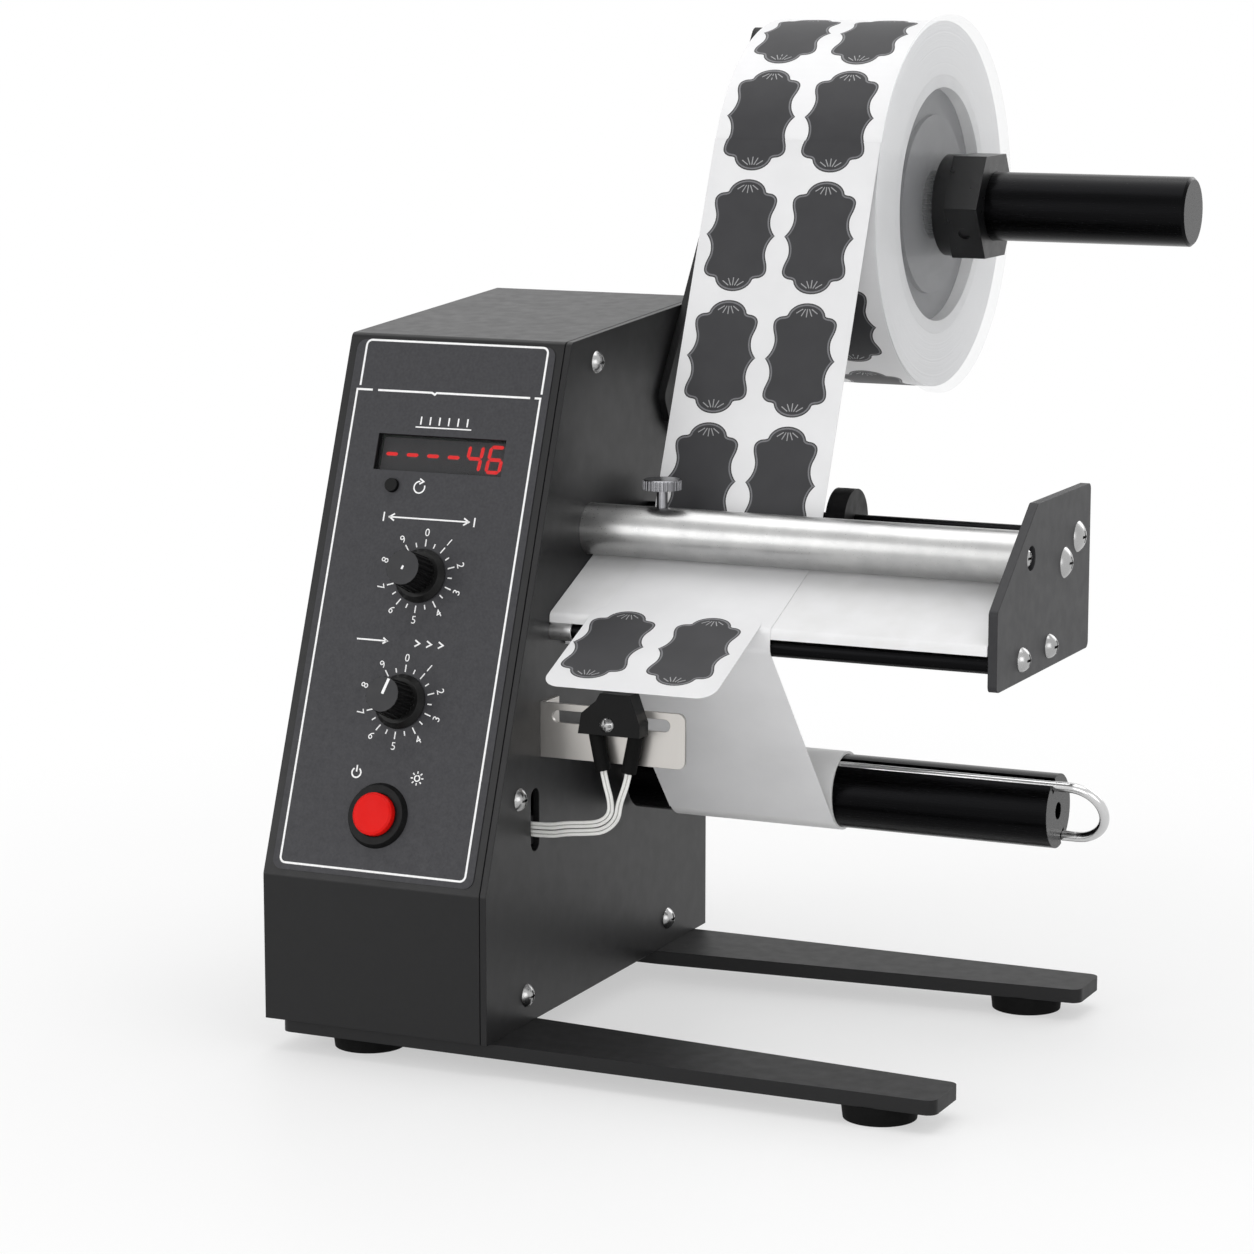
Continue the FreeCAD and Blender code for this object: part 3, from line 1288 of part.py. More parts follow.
def rounded_route(points, share):
    """Straight runs joined by tangent arcs, each as large as its two runs allow."""
    edges = []
    radii = []
    start = points[0]
    for before, corner, after in zip(points, points[1:], points[2:]):
        back = before - corner
        ahead = after - corner
        half_turn = (math.pi - back.getAngle(ahead)) / 2
        reach = share * min(back.Length, ahead.Length)
        radius = reach / math.tan(half_turn)
        radii.append(radius)
        first = corner + back.normalize() * reach
        last = corner + ahead.normalize() * reach
        middle = corner + (back + ahead).normalize() * (radius / math.cos(half_turn) - radius)
        edges.append(Part.LineSegment(start, first).toShape())
        edges.append(Part.Arc(first, middle, last).toShape())
        start = last
    edges.append(Part.LineSegment(start, points[-1]).toShape())
    return edges, radii


def beside(points, shift):
    """A route moved sideways in the XZ plane by shift, to its left where it runs down."""
    moved = []
    for number, spot in enumerate(points):
        before = spot - points[number - 1] if number else points[1] - spot
        after = points[number + 1] - spot if number + 1 < len(points) else before
        sides = [Vector(way.z, 0, -way.x).normalize() for way in (before, after)]
        middle = (sides[0] + sides[1]).normalize()
        moved.append(spot + middle * (shift / middle.dot(sides[0])))
    return moved


def wire_pieces():
    """Four thin wires, in two pairs, from the boots to the connector behind the slot."""
    radius = d.sensor_wire_radius
    arc_share = 0.45
    number = 1
    for side, route in WIRE_ROUTES.items():
        way = boot_way(side)
        leave = boot_top(side) + way * d.boot_length
        arrive = Vector(-d.side_thickness, *route[-1][1:])
        line = [leave, leave + way * d.wire_lead] + [Vector(*spot) for spot in route] + [arrive]
        for shift in (d.wire_spread, -d.wire_spread):
            points = beside(line, shift)
            edges, radii = rounded_route(points, arc_share)
            path = Part.Wire(edges)
            section = Part.Wire(Part.Circle(points[0], points[1] - points[0], radius).toShape())
            tube = path.makePipeShell([section], True, False)
            ratio = tube.Volume / (math.pi * radius * radius * path.Length)
            print(f"sensor_wire_{number}: length {path.Length:.1f}, least radius {min(radii):.1f}")
            print(f"sensor_wire_{number}: tube volume by section times length {ratio:.4f}")
            node(f"sensor_wire_{number}", made("Wire", tube))
            number += 1


def supply_pieces():
    """The supply arm, its rod and the roll of labels between the hubs."""
    arm = padded(
        [
            ("arm_foot_y", "arm_foot_z"),
            ("arm_head_y", "arm_head_z"),
            ("arm_back_y", "arm_back_z"),
            ("arm_heel_y", "arm_heel_z"),
            ("arm_toe_y", "arm_toe_z"),
        ],
        "arm_thickness", corners=(0, 1, 2, 3), radius="arm_corner_radius",
    )
    axis = at_side(d.supply_y, d.supply_z)
    bores = [turn(at_side(y, z, -d.overrun), X, "screw_clear_radius", "2 * overrun")
             for y, z in arm_spots()]
    bores.append(turn(axis - X * d.overrun, X, "bush_radius + running_gap", "2 * overrun"))
    node("supply_arm", cut(arm, *bores))
    seat = X * d.arm_thickness
    case_screws.extend(pan_screw(seat + at_side(y, z), -X,
                                 length="arm_thickness + side_thickness + nut_height")
                       for y, z in arm_spots())
    case_screws.extend(ring(at_side(y, z, -d.side_thickness), -X, "pan_head_radius", "screw_hole_radius",
                            "nut_height") for y, z in arm_spots())
    bush = fuse(turn(axis, X, "bush_radius", "arm_thickness"),
                turn(axis + seat, X, "bush_flange_radius", "bush_flange"))
    node("rod_bush", cut(bush, turn(axis - X * d.overrun, X, "journal_radius + running_gap", "3 * overrun")))

    rod_start = axis + X * d.rod_start
    rod_end = axis + X * (d.supply_rod_end - d.supply_rod_chamfer)
    journal_start = axis - X * (d.rod_collar_width + d.rod_shoulder_gap)
    rod = fuse(
        turn(journal_start, X, "journal_radius", "rod_collar_width + rod_shoulder_gap + rod_start"),
        turn(rod_start, X, "supply_rod_radius", "supply_rod_end - supply_rod_chamfer - rod_start"),
        taper(rod_end, X, "supply_rod_radius", "supply_rod_radius - supply_rod_chamfer",
              "supply_rod_chamfer"),
    )
    collar = ring(journal_start, X, "rod_collar_radius", "journal_radius + snug_gap", "rod_collar_width")
    node("supply_rod", rod, collar)

    roll_start = axis + X * d.web_left
    around = "supply_rod_radius + snug_gap"
    flange_start = roll_start - X * (d.inner_flange_thickness + d.seat_gap)
    boss = turn(rod_start, X, "inner_boss_radius", "web_left - rod_start - inner_flange_thickness - seat_gap")
    flange = turn(flange_start, X, "inner_flange_radius", "inner_flange_thickness")
    node("inner_hub", cut(fuse(boss, flange), turn(rod_start, X, around, "web_left")))
    node("roll_core", ring(roll_start, X, "core_outer_radius", "core_inner_radius", "web_width"))
    node("label_roll", ring(roll_start, X, "roll_radius", "core_outer_radius + snug_gap", "web_width"))
    adapters = []
    for start, away in ((roll_start + X * d.adapter_inset, X),
                        (roll_start + X * (d.web_width - d.adapter_inset), -X)):
        wheel = turn(start, away, "core_inner_radius - snug_gap", "adapter_thickness")
        step = turn(start, -away, "adapter_step_radius", "adapter_step")
        hole = turn(start - away * d.overrun, away, around, "adapter_thickness + 2 * overrun")
        adapters.append(cut(fuse(wheel, step), hole))
    node("core_adapters", *adapters)

    disc_start = roll_start + X * (d.web_width + d.outer_disc_gap)
    node("outer_disc", ring(disc_start, X, "outer_disc_radius", "supply_rod_radius + running_gap",
                            "outer_disc_thickness"))
    hub_start = axis + X * d.hub_start
    flange = turn(hub_start, X, "hub_flange_radius", "hub_flange_length")
    hexagon = doc.addObject("Part::Prism", "Hexagon")
    hexagon.Polygon = 6
    bind(hexagon, Circumradius="hub_block_radius", Height="hub_block_length")
    hexagon.Placement = Placement(hub_start + X * d.hub_flange_length, Rotation(X, 90) * Rotation(Z, X))
    hub_bore = turn(hub_start - X * d.overrun, X, "supply_rod_radius + running_gap",
                    "hub_flange_length + hub_block_length + 2 * overrun")
    middle = hub_start + X * (d.hub_flange_length + d.hub_block_length / 2)
    way = Rotation(X, d.set_screw_angle).multVec(Y)
    tap = turn(middle, way, "set_screw_radius", "hub_block_radius + overrun")
    screw = turn(middle + way * (d.supply_rod_radius + d.running_gap), way, "set_screw_radius - snug_gap",
                 "hub_flange_radius - supply_rod_radius - set_screw_radius / 2")
    node("outer_hub", cut(fuse(flange, hexagon), hub_bore, tap), screw)


def check_document():
    """Stop if any object failed or any sub-part isn't a valid solid."""
    for item in doc.Objects:
        if "Invalid" in item.State or "Error" in item.State:
            raise RuntimeError(f"{item.Label} has failed: {item.State}")
    for group in nodes:
        shape = group.Shape
        if shape.isNull() or not shape.isValid() or not shape.Solids:
            raise RuntimeError(f"{group.Label} is not a valid solid")


case_pieces()
stand_pieces()
panel_pieces()
board_pieces()
drive_pieces()
web_pieces()
guide_pieces()
sensor_pieces()
wire_pieces()
supply_pieces()
node("case_screws", *case_screws)
doc.recompute()
check_document()
os.makedirs("parts", exist_ok=True)
for group in nodes:
    group.Shape.exportStep(f"parts/{group.Label}.step")
whole = FreeCAD.BoundBox()
for group in nodes:
    whole.add(group.Shape.BoundBox)
print(f"{len(nodes)} sub-parts, box {whole}")
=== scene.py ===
"""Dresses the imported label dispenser: finishes, printed panel, lit display, labels, wires, camera and lights."""
import json
import math

import bmesh
import bpy
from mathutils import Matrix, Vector

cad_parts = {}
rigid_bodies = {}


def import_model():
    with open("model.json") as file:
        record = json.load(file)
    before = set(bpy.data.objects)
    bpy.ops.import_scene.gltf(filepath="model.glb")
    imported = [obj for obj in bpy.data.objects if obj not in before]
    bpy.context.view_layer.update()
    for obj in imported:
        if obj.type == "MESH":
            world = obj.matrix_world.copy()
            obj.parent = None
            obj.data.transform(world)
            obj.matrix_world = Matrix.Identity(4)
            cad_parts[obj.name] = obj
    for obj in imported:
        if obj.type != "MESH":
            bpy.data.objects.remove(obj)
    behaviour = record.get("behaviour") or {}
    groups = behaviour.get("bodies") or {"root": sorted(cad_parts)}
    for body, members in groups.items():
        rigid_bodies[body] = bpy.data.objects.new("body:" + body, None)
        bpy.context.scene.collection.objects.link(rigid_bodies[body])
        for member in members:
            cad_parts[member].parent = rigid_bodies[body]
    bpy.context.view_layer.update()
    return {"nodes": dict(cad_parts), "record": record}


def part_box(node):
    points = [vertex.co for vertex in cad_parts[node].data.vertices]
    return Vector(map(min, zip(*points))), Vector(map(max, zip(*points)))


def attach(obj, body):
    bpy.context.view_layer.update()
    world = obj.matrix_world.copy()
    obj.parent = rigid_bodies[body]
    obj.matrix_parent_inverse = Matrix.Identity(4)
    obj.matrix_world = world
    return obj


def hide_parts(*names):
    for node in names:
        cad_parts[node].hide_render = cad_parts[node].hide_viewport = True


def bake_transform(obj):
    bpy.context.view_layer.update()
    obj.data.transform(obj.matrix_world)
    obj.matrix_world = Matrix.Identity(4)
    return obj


for thing in list(bpy.data.objects):
    bpy.data.objects.remove(thing)
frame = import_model()

MM = 0.001
X_WAY = Vector((1, 0, 0))

# Lengths below are in millimetres from the side plate's outer face, its front edge and its foot.
side_low, side_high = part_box("side_plate")
ORIGIN = Vector((side_high.x, side_low.y, side_low.z))
LOWER_FRONT_HEIGHT = 57
PANEL_DEPTH, PANEL_RISE = 76, 200
PANEL_FOOT = Vector((0, 0, LOWER_FRONT_HEIGHT))
PANEL_TILT = math.atan2(PANEL_DEPTH, PANEL_RISE)
PANEL_UP = Vector((0, math.sin(PANEL_TILT), math.cos(PANEL_TILT)))
PANEL_OUT = Vector((0, -math.cos(PANEL_TILT), math.sin(PANEL_TILT)))
OVERLAY_FACE = 0.4


def at(x, y, z):
    """A point of the scene from lengths in millimetres."""
    return ORIGIN + Vector((x, y, z)) * MM


def on_panel(u, v, out=OVERLAY_FACE):
    """A point of the sloped panel: u across, v up the slope, out of the sheet metal's face."""
    return at(*(PANEL_FOOT + X_WAY * u + PANEL_UP * v + PANEL_OUT * out))


# Materials

# The usual span of the noise, and the shares of open view at which the painted shade in hollows is full and at
# which it is gone
NOISE_LOW, NOISE_HIGH = 0.3, 0.7
HOLLOW, OPEN = 0.45, 0.8


def linear(code):
    """The linear colour of a six-digit web colour."""
    parts = [int(code[place:place + 2], 16) / 255 for place in (0, 2, 4)]
    return [part / 12.92 if part <= 0.04045 else ((part + 0.055) / 1.055) ** 2.4 for part in parts] + [1]


class Look:
    """A Principled material whose colour, roughness and surface vary over the object's own coordinates."""

    def __init__(self, name, colour, rough, **sockets):
        self.material = bpy.data.materials.new(name)
        self.material.use_nodes = True
        self.nodes = self.material.node_tree.nodes
        self.shader = self.nodes["Principled BSDF"]
        self.place = self.nodes.new("ShaderNodeTexCoord").outputs["Object"]
        self.height = None
        self.shader.inputs["Base Color"].default_value = linear(colour)
        self.shader.inputs["Roughness"].default_value = rough
        for socket, value in sockets.items():
            self.shader.inputs[socket.replace("_", " ")].default_value = value

    def link(self, out, into):
        """Joins one node's output to another's input."""
        self.material.node_tree.links.new(out, into)

    def stretched(self, stretch):
        """The object's coordinates, scaled along each axis."""
        mapping = self.nodes.new("ShaderNodeMapping")
        mapping.inputs["Scale"].default_value = stretch
        self.link(self.place, mapping.inputs["Vector"])
        return mapping.outputs["Vector"]

    def noise(self, size, detail=3, stretch=(1, 1, 1)):
        """Noise with grains of about the given size in millimetres."""
        noise = self.nodes.new("ShaderNodeTexNoise")
        noise.inputs["Scale"].default_value = 1 / (size * MM)
        noise.inputs["Detail"].default_value = detail
        self.link(self.stretched(stretch), noise.inputs["Vector"])
        return noise.outputs["Fac"]

    def ranged(self, value, low, high):
        """A value between low and high as the noise goes over its usual span."""
        span = self.nodes.new("ShaderNodeMapRange")
        span.inputs["From Min"].default_value = NOISE_LOW
        span.inputs["From Max"].default_value = NOISE_HIGH
        span.inputs["To Min"].default_value = low
        span.inputs["To Max"].default_value = high
        self.link(value, span.inputs["Value"])
        return span.outputs["Result"]

    def tint(self, value, low, high):
        """Base colour that goes from one web colour to the other with the noise."""
        ramp = self.nodes.new("ShaderNodeValToRGB")
        ramp.color_ramp.elements[0].position = NOISE_LOW
        ramp.color_ramp.elements[1].position = NOISE_HIGH
        ramp.color_ramp.elements[0].color = linear(low)
        ramp.color_ramp.elements[1].color = linear(high)
        self.link(value, ramp.inputs["Fac"])
        self.link(ramp.outputs["Color"], self.shader.inputs["Base Color"])
        return self

    def worn(self, value, low, high):
        """Roughness that varies with the noise."""
        self.link(self.ranged(value, low, high), self.shader.inputs["Roughness"])
        return self

    def relief(self, value, strength, distance):
        """Surface relief, distance in millimetres, added to the relief already there."""
        bump = self.nodes.new("ShaderNodeBump")
        bump.inputs["Strength"].default_value = strength
        bump.inputs["Distance"].default_value = distance * MM
        self.link(value, bump.inputs["Height"])
        if self.height:
            self.link(self.height, bump.inputs["Normal"])
        self.height = bump.outputs["Normal"]
        self.link(self.height, self.shader.inputs["Normal"])
        return self

    def eased(self, radius):
        """Edges that catch the light as if rounded by a radius in millimetres."""
        bevel = self.nodes.new("ShaderNodeBevel")
        bevel.samples = 4
        bevel.inputs["Radius"].default_value = radius * MM
        self.height = bevel.outputs["Normal"]
        self.link(self.height, self.shader.inputs["Normal"])
        return self


def powder(name, low, high, rough, gloss=0.26, radius=0.5):
    """Fine-textured powder coat."""
    look = Look(name, low, rough, Specular_IOR_Level=gloss).eased(radius)
    look.tint(look.noise(2.2, 3), low, high)
    look.worn(look.noise(6, 3), rough - 0.03, rough + 0.03)
    return look.relief(look.noise(0.45, 2), 0.35, 0.05)


def metal(name, low, high, rough, stretch=(1, 1, 1), grain=0.6, depth=0.004, radius=0.3):
    """Bare or plated metal with a fine grain, drawn out along an axis where stretch is small."""
    look = Look(name, low, rough, Metallic=1).eased(radius)
    look.tint(look.noise(14, 3, stretch), low, high)
    look.worn(look.noise(grain, 3, stretch), rough - 0.04, rough + 0.05)
    return look.relief(look.noise(grain, 2, stretch), 0.3, depth)


def grimed(look, reach, dark="0c0c0c"):
    """Painted shade: darkens the hollows that are narrower than about twice the reach in millimetres."""
    cover = look.nodes.new("ShaderNodeAmbientOcclusion")
    cover.samples = 8
    cover.inputs["Distance"].default_value = reach * MM
    span = look.nodes.new("ShaderNodeMapRange")
    span.inputs["From Min"].default_value = HOLLOW
    span.inputs["From Max"].default_value = OPEN
    look.link(cover.outputs["AO"], span.inputs["Value"])
    mix = look.nodes.new("ShaderNodeMix")
    mix.data_type = "RGBA"
    mix.inputs["A"].default_value = linear(dark)
    colour = look.shader.inputs["Base Color"].links[0].from_socket
    look.link(span.outputs["Result"], mix.inputs["Factor"])
    look.link(colour, [socket for socket in mix.inputs if socket.name == "B" and socket.type == "RGBA"][0])
    look.link([socket for socket in mix.outputs if socket.type == "RGBA"][0], look.shader.inputs["Base Color"])
    return look


def plastic(name, low, high, rough, grain=0.5, depth=0.012, radius=0.25, **sockets):
    """Moulded plastic or rubber."""
    look = Look(name, low, rough, **sockets).eased(radius)
    look.tint(look.noise(11, 3), low, high)
    look.worn(look.noise(4, 3), rough - 0.05, rough + 0.06)
    return look.relief(look.noise(grain, 2), 0.3, depth)


def grained_overlay():
    """The dark film of the front panel, with the fine grain of its screen print."""
    look = Look("overlay", "343437", 0.5, Specular_IOR_Level=0.28)
    look.tint(look.noise(1.1, 4), "303033", "38383b")
    look.worn(look.noise(3, 3), 0.44, 0.58)
    look.relief(look.noise(0.9, 4), 0.5, 0.06)
    return look


def smoked_window():
    """The half-clear pane over the display."""
    look = Look("window", "161617", 0.4, Alpha=0.5, Specular_IOR_Level=0.3)
    look.tint(look.noise(9, 2), "141415", "18181a")
    return look.relief(look.noise(0.8, 2), 0.1, 0.01)


def circuit_board():
    """Green solder mask."""
    look = Look("board", "1c5a35", 0.35)
    look.tint(look.noise(2.5, 2), "174c2c", "256b41")
    return look.relief(look.noise(1.2, 2), 0.25, 0.05)


def silky_paper(name, low, high, size):
    """White silicone paper with soft waves."""
    look = Look(name, low, 0.42, Specular_IOR_Level=0.45)
    look.tint(look.noise(size, 4), low, high)
    look.worn(look.noise(7, 3), 0.34, 0.5)
    return look.relief(look.noise(16, 3), 0.25, 0.25)


def wound_paper(name, low, high, axis_y, axis_z, pitch=1.1):
    """Paper whose edges show as fine rings round an axis that runs along X."""
    look = silky_paper(name, low, high, 22)
    mapping = look.nodes.new("ShaderNodeMapping")
    mapping.inputs["Location"].default_value = -at(0, axis_y, axis_z)
    look.link(look.place, mapping.inputs["Vector"])
    parts = look.nodes.new("ShaderNodeSeparateXYZ")
    look.link(mapping.outputs["Vector"], parts.inputs["Vector"])
    flat = look.nodes.new("ShaderNodeCombineXYZ")
    look.link(parts.outputs["Y"], flat.inputs["Y"])
    look.link(parts.outputs["Z"], flat.inputs["Z"])
    length = look.nodes.new("ShaderNodeVectorMath")
    length.operation = "LENGTH"
    look.link(flat.outputs["Vector"], length.inputs[0])
    rings = look.nodes.new("ShaderNodeTexNoise")
    rings.noise_dimensions = "1D"
    rings.inputs["Scale"].default_value = 1 / (pitch * MM)
    rings.inputs["Detail"].default_value = 3
    look.link(length.outputs["Value"], rings.inputs["W"])
    look.tint(rings.outputs["Fac"], low, high)
    return look.relief(rings.outputs["Fac"], 0.35, 0.12)


def clear_sheet():
    """Clear acrylic, a little wavy."""
    look = Look("clear_disc", "e9ecee", 0.15, Alpha=0.1, Specular_IOR_Level=0.5)
    look.tint(look.noise(30, 2), "e4e7ea", "f1f3f4")
    return look.relief(look.noise(40, 2), 0.1, 0.2)


def printed(name, low, high, rough=0.5):
    """A thin layer of screen print."""
    look = Look(name, low, rough)
    look.tint(look.noise(1.3, 3), low, high)
    return look.relief(look.noise(0.5, 2), 0.2, 0.02)


def lit(name, colour, strength):
    """A lit segment, a little uneven as its diffuser is."""
    look = Look(name, colour, 0.4)
    look.shader.inputs["Emission Color"].default_value = linear(colour)
    look.link(look.ranged(look.noise(2.5, 2), strength * 0.93, strength * 1.05),
              look.shader.inputs["Emission Strength"])
    return look


# Where the two rolls' axes stand in the side view, y and z
ROLL_AXIS = (232, 302.5)
TAKE_UP_AXIS = (133, 79.8)

LOOKS = {
    "case_paint": powder("case_paint", "131314", "151516", 0.37),
    "bar_paint": powder("bar_paint", "101011", "121213", 0.5),
    "overlay": grained_overlay(),
    "window": smoked_window(),
    "digits": plastic("digits", "0a0a0a", "0d0d0d", 0.6, Specular_IOR_Level=0.1),
    "board": circuit_board(),
    "knob": plastic("knob", "070707", "0a0a0a", 0.4, Specular_IOR_Level=0.22),
    "red_button": plastic("red_button", "d3100c", "da140f", 0.42, depth=0.003, radius=0.5,
                          Specular_IOR_Level=0.12),
    "black_plastic": plastic("black_plastic", "090909", "0c0c0d", 0.42, Specular_IOR_Level=0.14),
    "steel": metal("steel", "b4b1ad", "c0bdb9", 0.36, stretch=(1, 1, 0.08), grain=0.5, depth=0.002),
    # Painted shade darkens the hollows of the screws.
    "screw_steel": grimed(metal("screw_steel", "a2a2a2", "b0b0b0", 0.24, grain=3, depth=0.001, radius=0.12),
                          reach=0.9),
    "tube_aluminium": metal("tube_aluminium", "a8a8a8", "bcbcbb", 0.31, grain=0.55, depth=0.012, radius=0.2),
    "chrome": metal("chrome", "c8c8c8", "d2d2d2", 0.14, grain=3, depth=0.001),
    "black_anodised": metal("black_anodised", "101011", "141415", 0.27, stretch=(0.05, 1, 1), grain=0.8,
                            depth=0.0005),
    "motor_metal": metal("motor_metal", "8b8c8e", "a0a1a3", 0.42, grain=0.8, depth=0.02),
    "rubber": plastic("rubber", "0a0a0a", "0e0e0e", 0.75, grain=0.8, depth=0.03, Specular_IOR_Level=0.1),
    "wire_white": plastic("wire_white", "dededb", "e8e8e5", 0.4, depth=0.004),
    "web_paper": silky_paper("web_paper", "dcdcdd", "e4e4e5", 30),
    "core_board": plastic("core_board", "8d8b88", "a09e9a", 0.8, grain=0.7, depth=0.05),
    "clear_disc": clear_sheet(),
}
OWN_LOOKS = {
    # The roll's paper is a lighter copy of the strip's web_paper: painted light for the roll's side, which the
    # lamps light less.
    "label_roll": wound_paper("roll_paper", "e0e0e1", "eeeeef", *ROLL_AXIS, pitch=0.7),
    "wound_backing": wound_paper("backing_paper", "d8d8d8", "e4e4e4", *TAKE_UP_AXIS, pitch=0.8),
    "platform": plastic("platform_white", "dedede", "e4e4e5", 0.42, grain=0.7, depth=0.004),
    "peel_shaft": metal("peel_end", "d0d0d0", "dadada", 0.3, grain=3, depth=0.001),
    "end_plate": powder("end_plate_paint", "28282a", "2c2c2e", 0.46),
    "roll_core": plastic("core_grey", "dcdcdd", "e6e6e7", 0.7, grain=0.7, depth=0.03),
    "core_adapters": plastic("adapter_grey", "606063", "68686b", 0.5),
    "inner_hub": plastic("hub_grey", "4e4e51", "565659", 0.5),
    "sensor_connector": plastic("connector_black", "121213", "18181a", 0.5),
    "outer_hub": plastic("hub_black", "0c0c0d", "101011", 0.32, Specular_IOR_Level=0.35),
    # Painted shade darkens the hollows of the thumbscrew.
    "thumbscrew": grimed(metal("dark_nickel", "77777a", "8a8a8d", 0.3, grain=3, depth=0.002, radius=0.15),
                         reach=0.7),
}


def dress(obj, look):
    """Puts one material on all of an object's slots."""
    obj.data.materials.clear()
    obj.data.materials.append(look.material)


for subpart in frame["record"]["subparts"]:
    node = subpart["node"]
    dress(frame["nodes"][node], OWN_LOOKS.get(node) or LOOKS[subpart["material_slot"]])


# Mesh helpers


def mesh_piece(name, mesh, look, body):
    """An object of the given mesh that rides on a body."""
    mesh.materials.clear()
    mesh.materials.append(look.material)
    obj = bpy.data.objects.new(name, mesh)
    bpy.context.scene.collection.objects.link(obj)
    if body:
        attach(obj, body)
    return obj


def raised(name, faces, place, top, foot, look, body):
    """Flat faces, each a list of (u, v), raised to top with walls down to foot. place(u, v, out) is a point."""
    shape = bmesh.new()
    for face in faces:
        shape.faces.new([shape.verts.new((u, v, 0)) for u, v in face])
    bmesh.ops.remove_doubles(shape, verts=shape.verts, dist=0.0005)
    bmesh.ops.recalc_face_normals(shape, faces=shape.faces)
    if sum(face.normal.z for face in shape.faces) < 0:
        bmesh.ops.reverse_faces(shape, faces=shape.faces)
    walls = bmesh.ops.extrude_face_region(shape, geom=shape.faces[:], use_keep_orig=True)
    lifted = {part for part in walls["geom"] if isinstance(part, bmesh.types.BMVert)}
    for vert in shape.verts:
        vert.co = place(vert.co.x, vert.co.y, top if vert in lifted else foot)
    bmesh.ops.recalc_face_normals(shape, faces=shape.faces)
    mesh = bpy.data.meshes.new(name)
    shape.to_mesh(mesh)
    shape.free()
    return mesh_piece(name, mesh, look, body)


def stroke(points, width, closed=False):
    """The faces of a line of the given width along (u, v) points, with mitred corners."""
    spots = [Vector(point) for point in points]
    count = len(spots)
    sides = []
    for place, spot in enumerate(spots):
        ways = []
        if closed or place:
            ways.append((spot - spots[place - 1]).normalized())
        if closed or place < count - 1:
            ways.append((spots[(place + 1) % count] - spot).normalized())
        across = [Vector((-way.y, way.x)) for way in ways]
        middle = sum(across, Vector((0, 0))).normalized()
        reach = width / 2 / max(0.4, middle.dot(across[0]))
        sides.append((spot - middle * reach, spot + middle * reach))
    last = count if closed else count - 1
    faces = []
    for place in range(last):
        (low, high), (next_low, next_high) = sides[place], sides[(place + 1) % count]
        faces.append([tuple(low), tuple(next_low), tuple(next_high), tuple(high)])
    return faces


def arc(centre, radius, start, end, steps=12):
    """Points on an arc, angles in degrees clockwise from the top."""
    turns = [math.radians(start + (end - start) * step / steps) for step in range(steps + 1)]
    return [(centre[0] + radius * math.sin(turn), centre[1] + radius * math.cos(turn)) for turn in turns]


def ray(centre, near, far, turn, width):
    """The faces of a line that points away from a centre, at an angle in degrees clockwise from the top."""
    return stroke([arc(centre, reach, turn, turn, 1)[0] for reach in (near, far)], width)


# Camera: its place, how far it looks down and how far it is turned to the left, in degrees

SENSOR_WIDTH = 36
FOCAL_LENGTH = 112.06
CAMERA_PLACE = (637.09, -1261.18, 408.1)
CAMERA_DIP = 9.99
CAMERA_TURN = 24.67

camera_data = bpy.data.cameras.new("camera")
camera_data.sensor_fit = "HORIZONTAL"
camera_data.sensor_width = SENSOR_WIDTH
camera_data.lens = FOCAL_LENGTH
camera = bpy.data.objects.new("camera", camera_data)
bpy.context.scene.collection.objects.link(camera)
camera.location = at(*CAMERA_PLACE)
camera.rotation_euler = (math.radians(90 - CAMERA_DIP), 0, math.radians(CAMERA_TURN))
bpy.context.scene.camera = camera


# Sensor wires: each goes from its boot down and round into the slot of the side plate.
# A wire has its length and the control points of its line.

WIRE_DIAMETER = 1.3
WIRES = {
    "sensor_wire_1": (51.1, [
        (27.53, 42.94, 99.65), (28.55, 42.94, 94.72), (30.68, 42.8, 88.09), (30.68, 42.6, 83.23),
        (26.89, 42.4, 79.98), (20.31, 42.2, 78.92), (12.89, 42, 78.31), (5.92, 42, 76.72), (-2.5, 42, 76.72)]),
    "sensor_wire_2": (53.7, [
        (28.94, 42.94, 99.95), (29.95, 42.94, 95.09), (32.12, 42.8, 88.31), (32.12, 42.6, 82.57),
        (27.51, 42.4, 78.62), (20.49, 42.2, 77.48), (13.11, 42, 76.89), (6.08, 42, 75.28), (-2.5, 42, 75.28)]),
    "sensor_wire_3": (56.5, [
        (38.06, 42.94, 99.95), (37.06, 42.94, 95.11), (34.2, 42.8, 87.77), (33.51, 42.6, 81.75),
        (28.47, 42.4, 77.08), (20.91, 42.2, 75.91), (13.28, 42, 75.21), (6.52, 42, 73.62), (-2.5, 42, 73.62)]),
    "sensor_wire_4": (58.5, [
        (39.47, 42.94, 99.65), (38.44, 42.94, 94.7), (35.6, 42.8, 87.43), (34.89, 42.6, 81.05),
        (29.13, 42.4, 75.72), (21.09, 42.2, 74.49), (13.52, 42, 73.79), (6.68, 42, 72.18), (-2.5, 42, 72.18)]),
}


def spline_line(name, route):
    """Points along the smooth NURBS line of a route."""
    curve = bpy.data.curves.new(name, "CURVE")
    curve.dimensions = "3D"
    curve.resolution_u = 16
    spline = curve.splines.new("NURBS")
    spline.points.add(len(route) - 1)
    for point, spot in zip(spline.points, route):
        point.co = (*spot, 1)
    spline.order_u = 3
    spline.use_endpoint_u = True
    holder = bpy.data.objects.new(name, curve)
    bpy.context.scene.collection.objects.link(holder)
    mesh = bpy.data.meshes.new_from_object(holder)
    line = [vertex.co.copy() for vertex in mesh.vertices]
    bpy.data.objects.remove(holder)
    bpy.data.curves.remove(curve)
    bpy.data.meshes.remove(mesh)
    return line


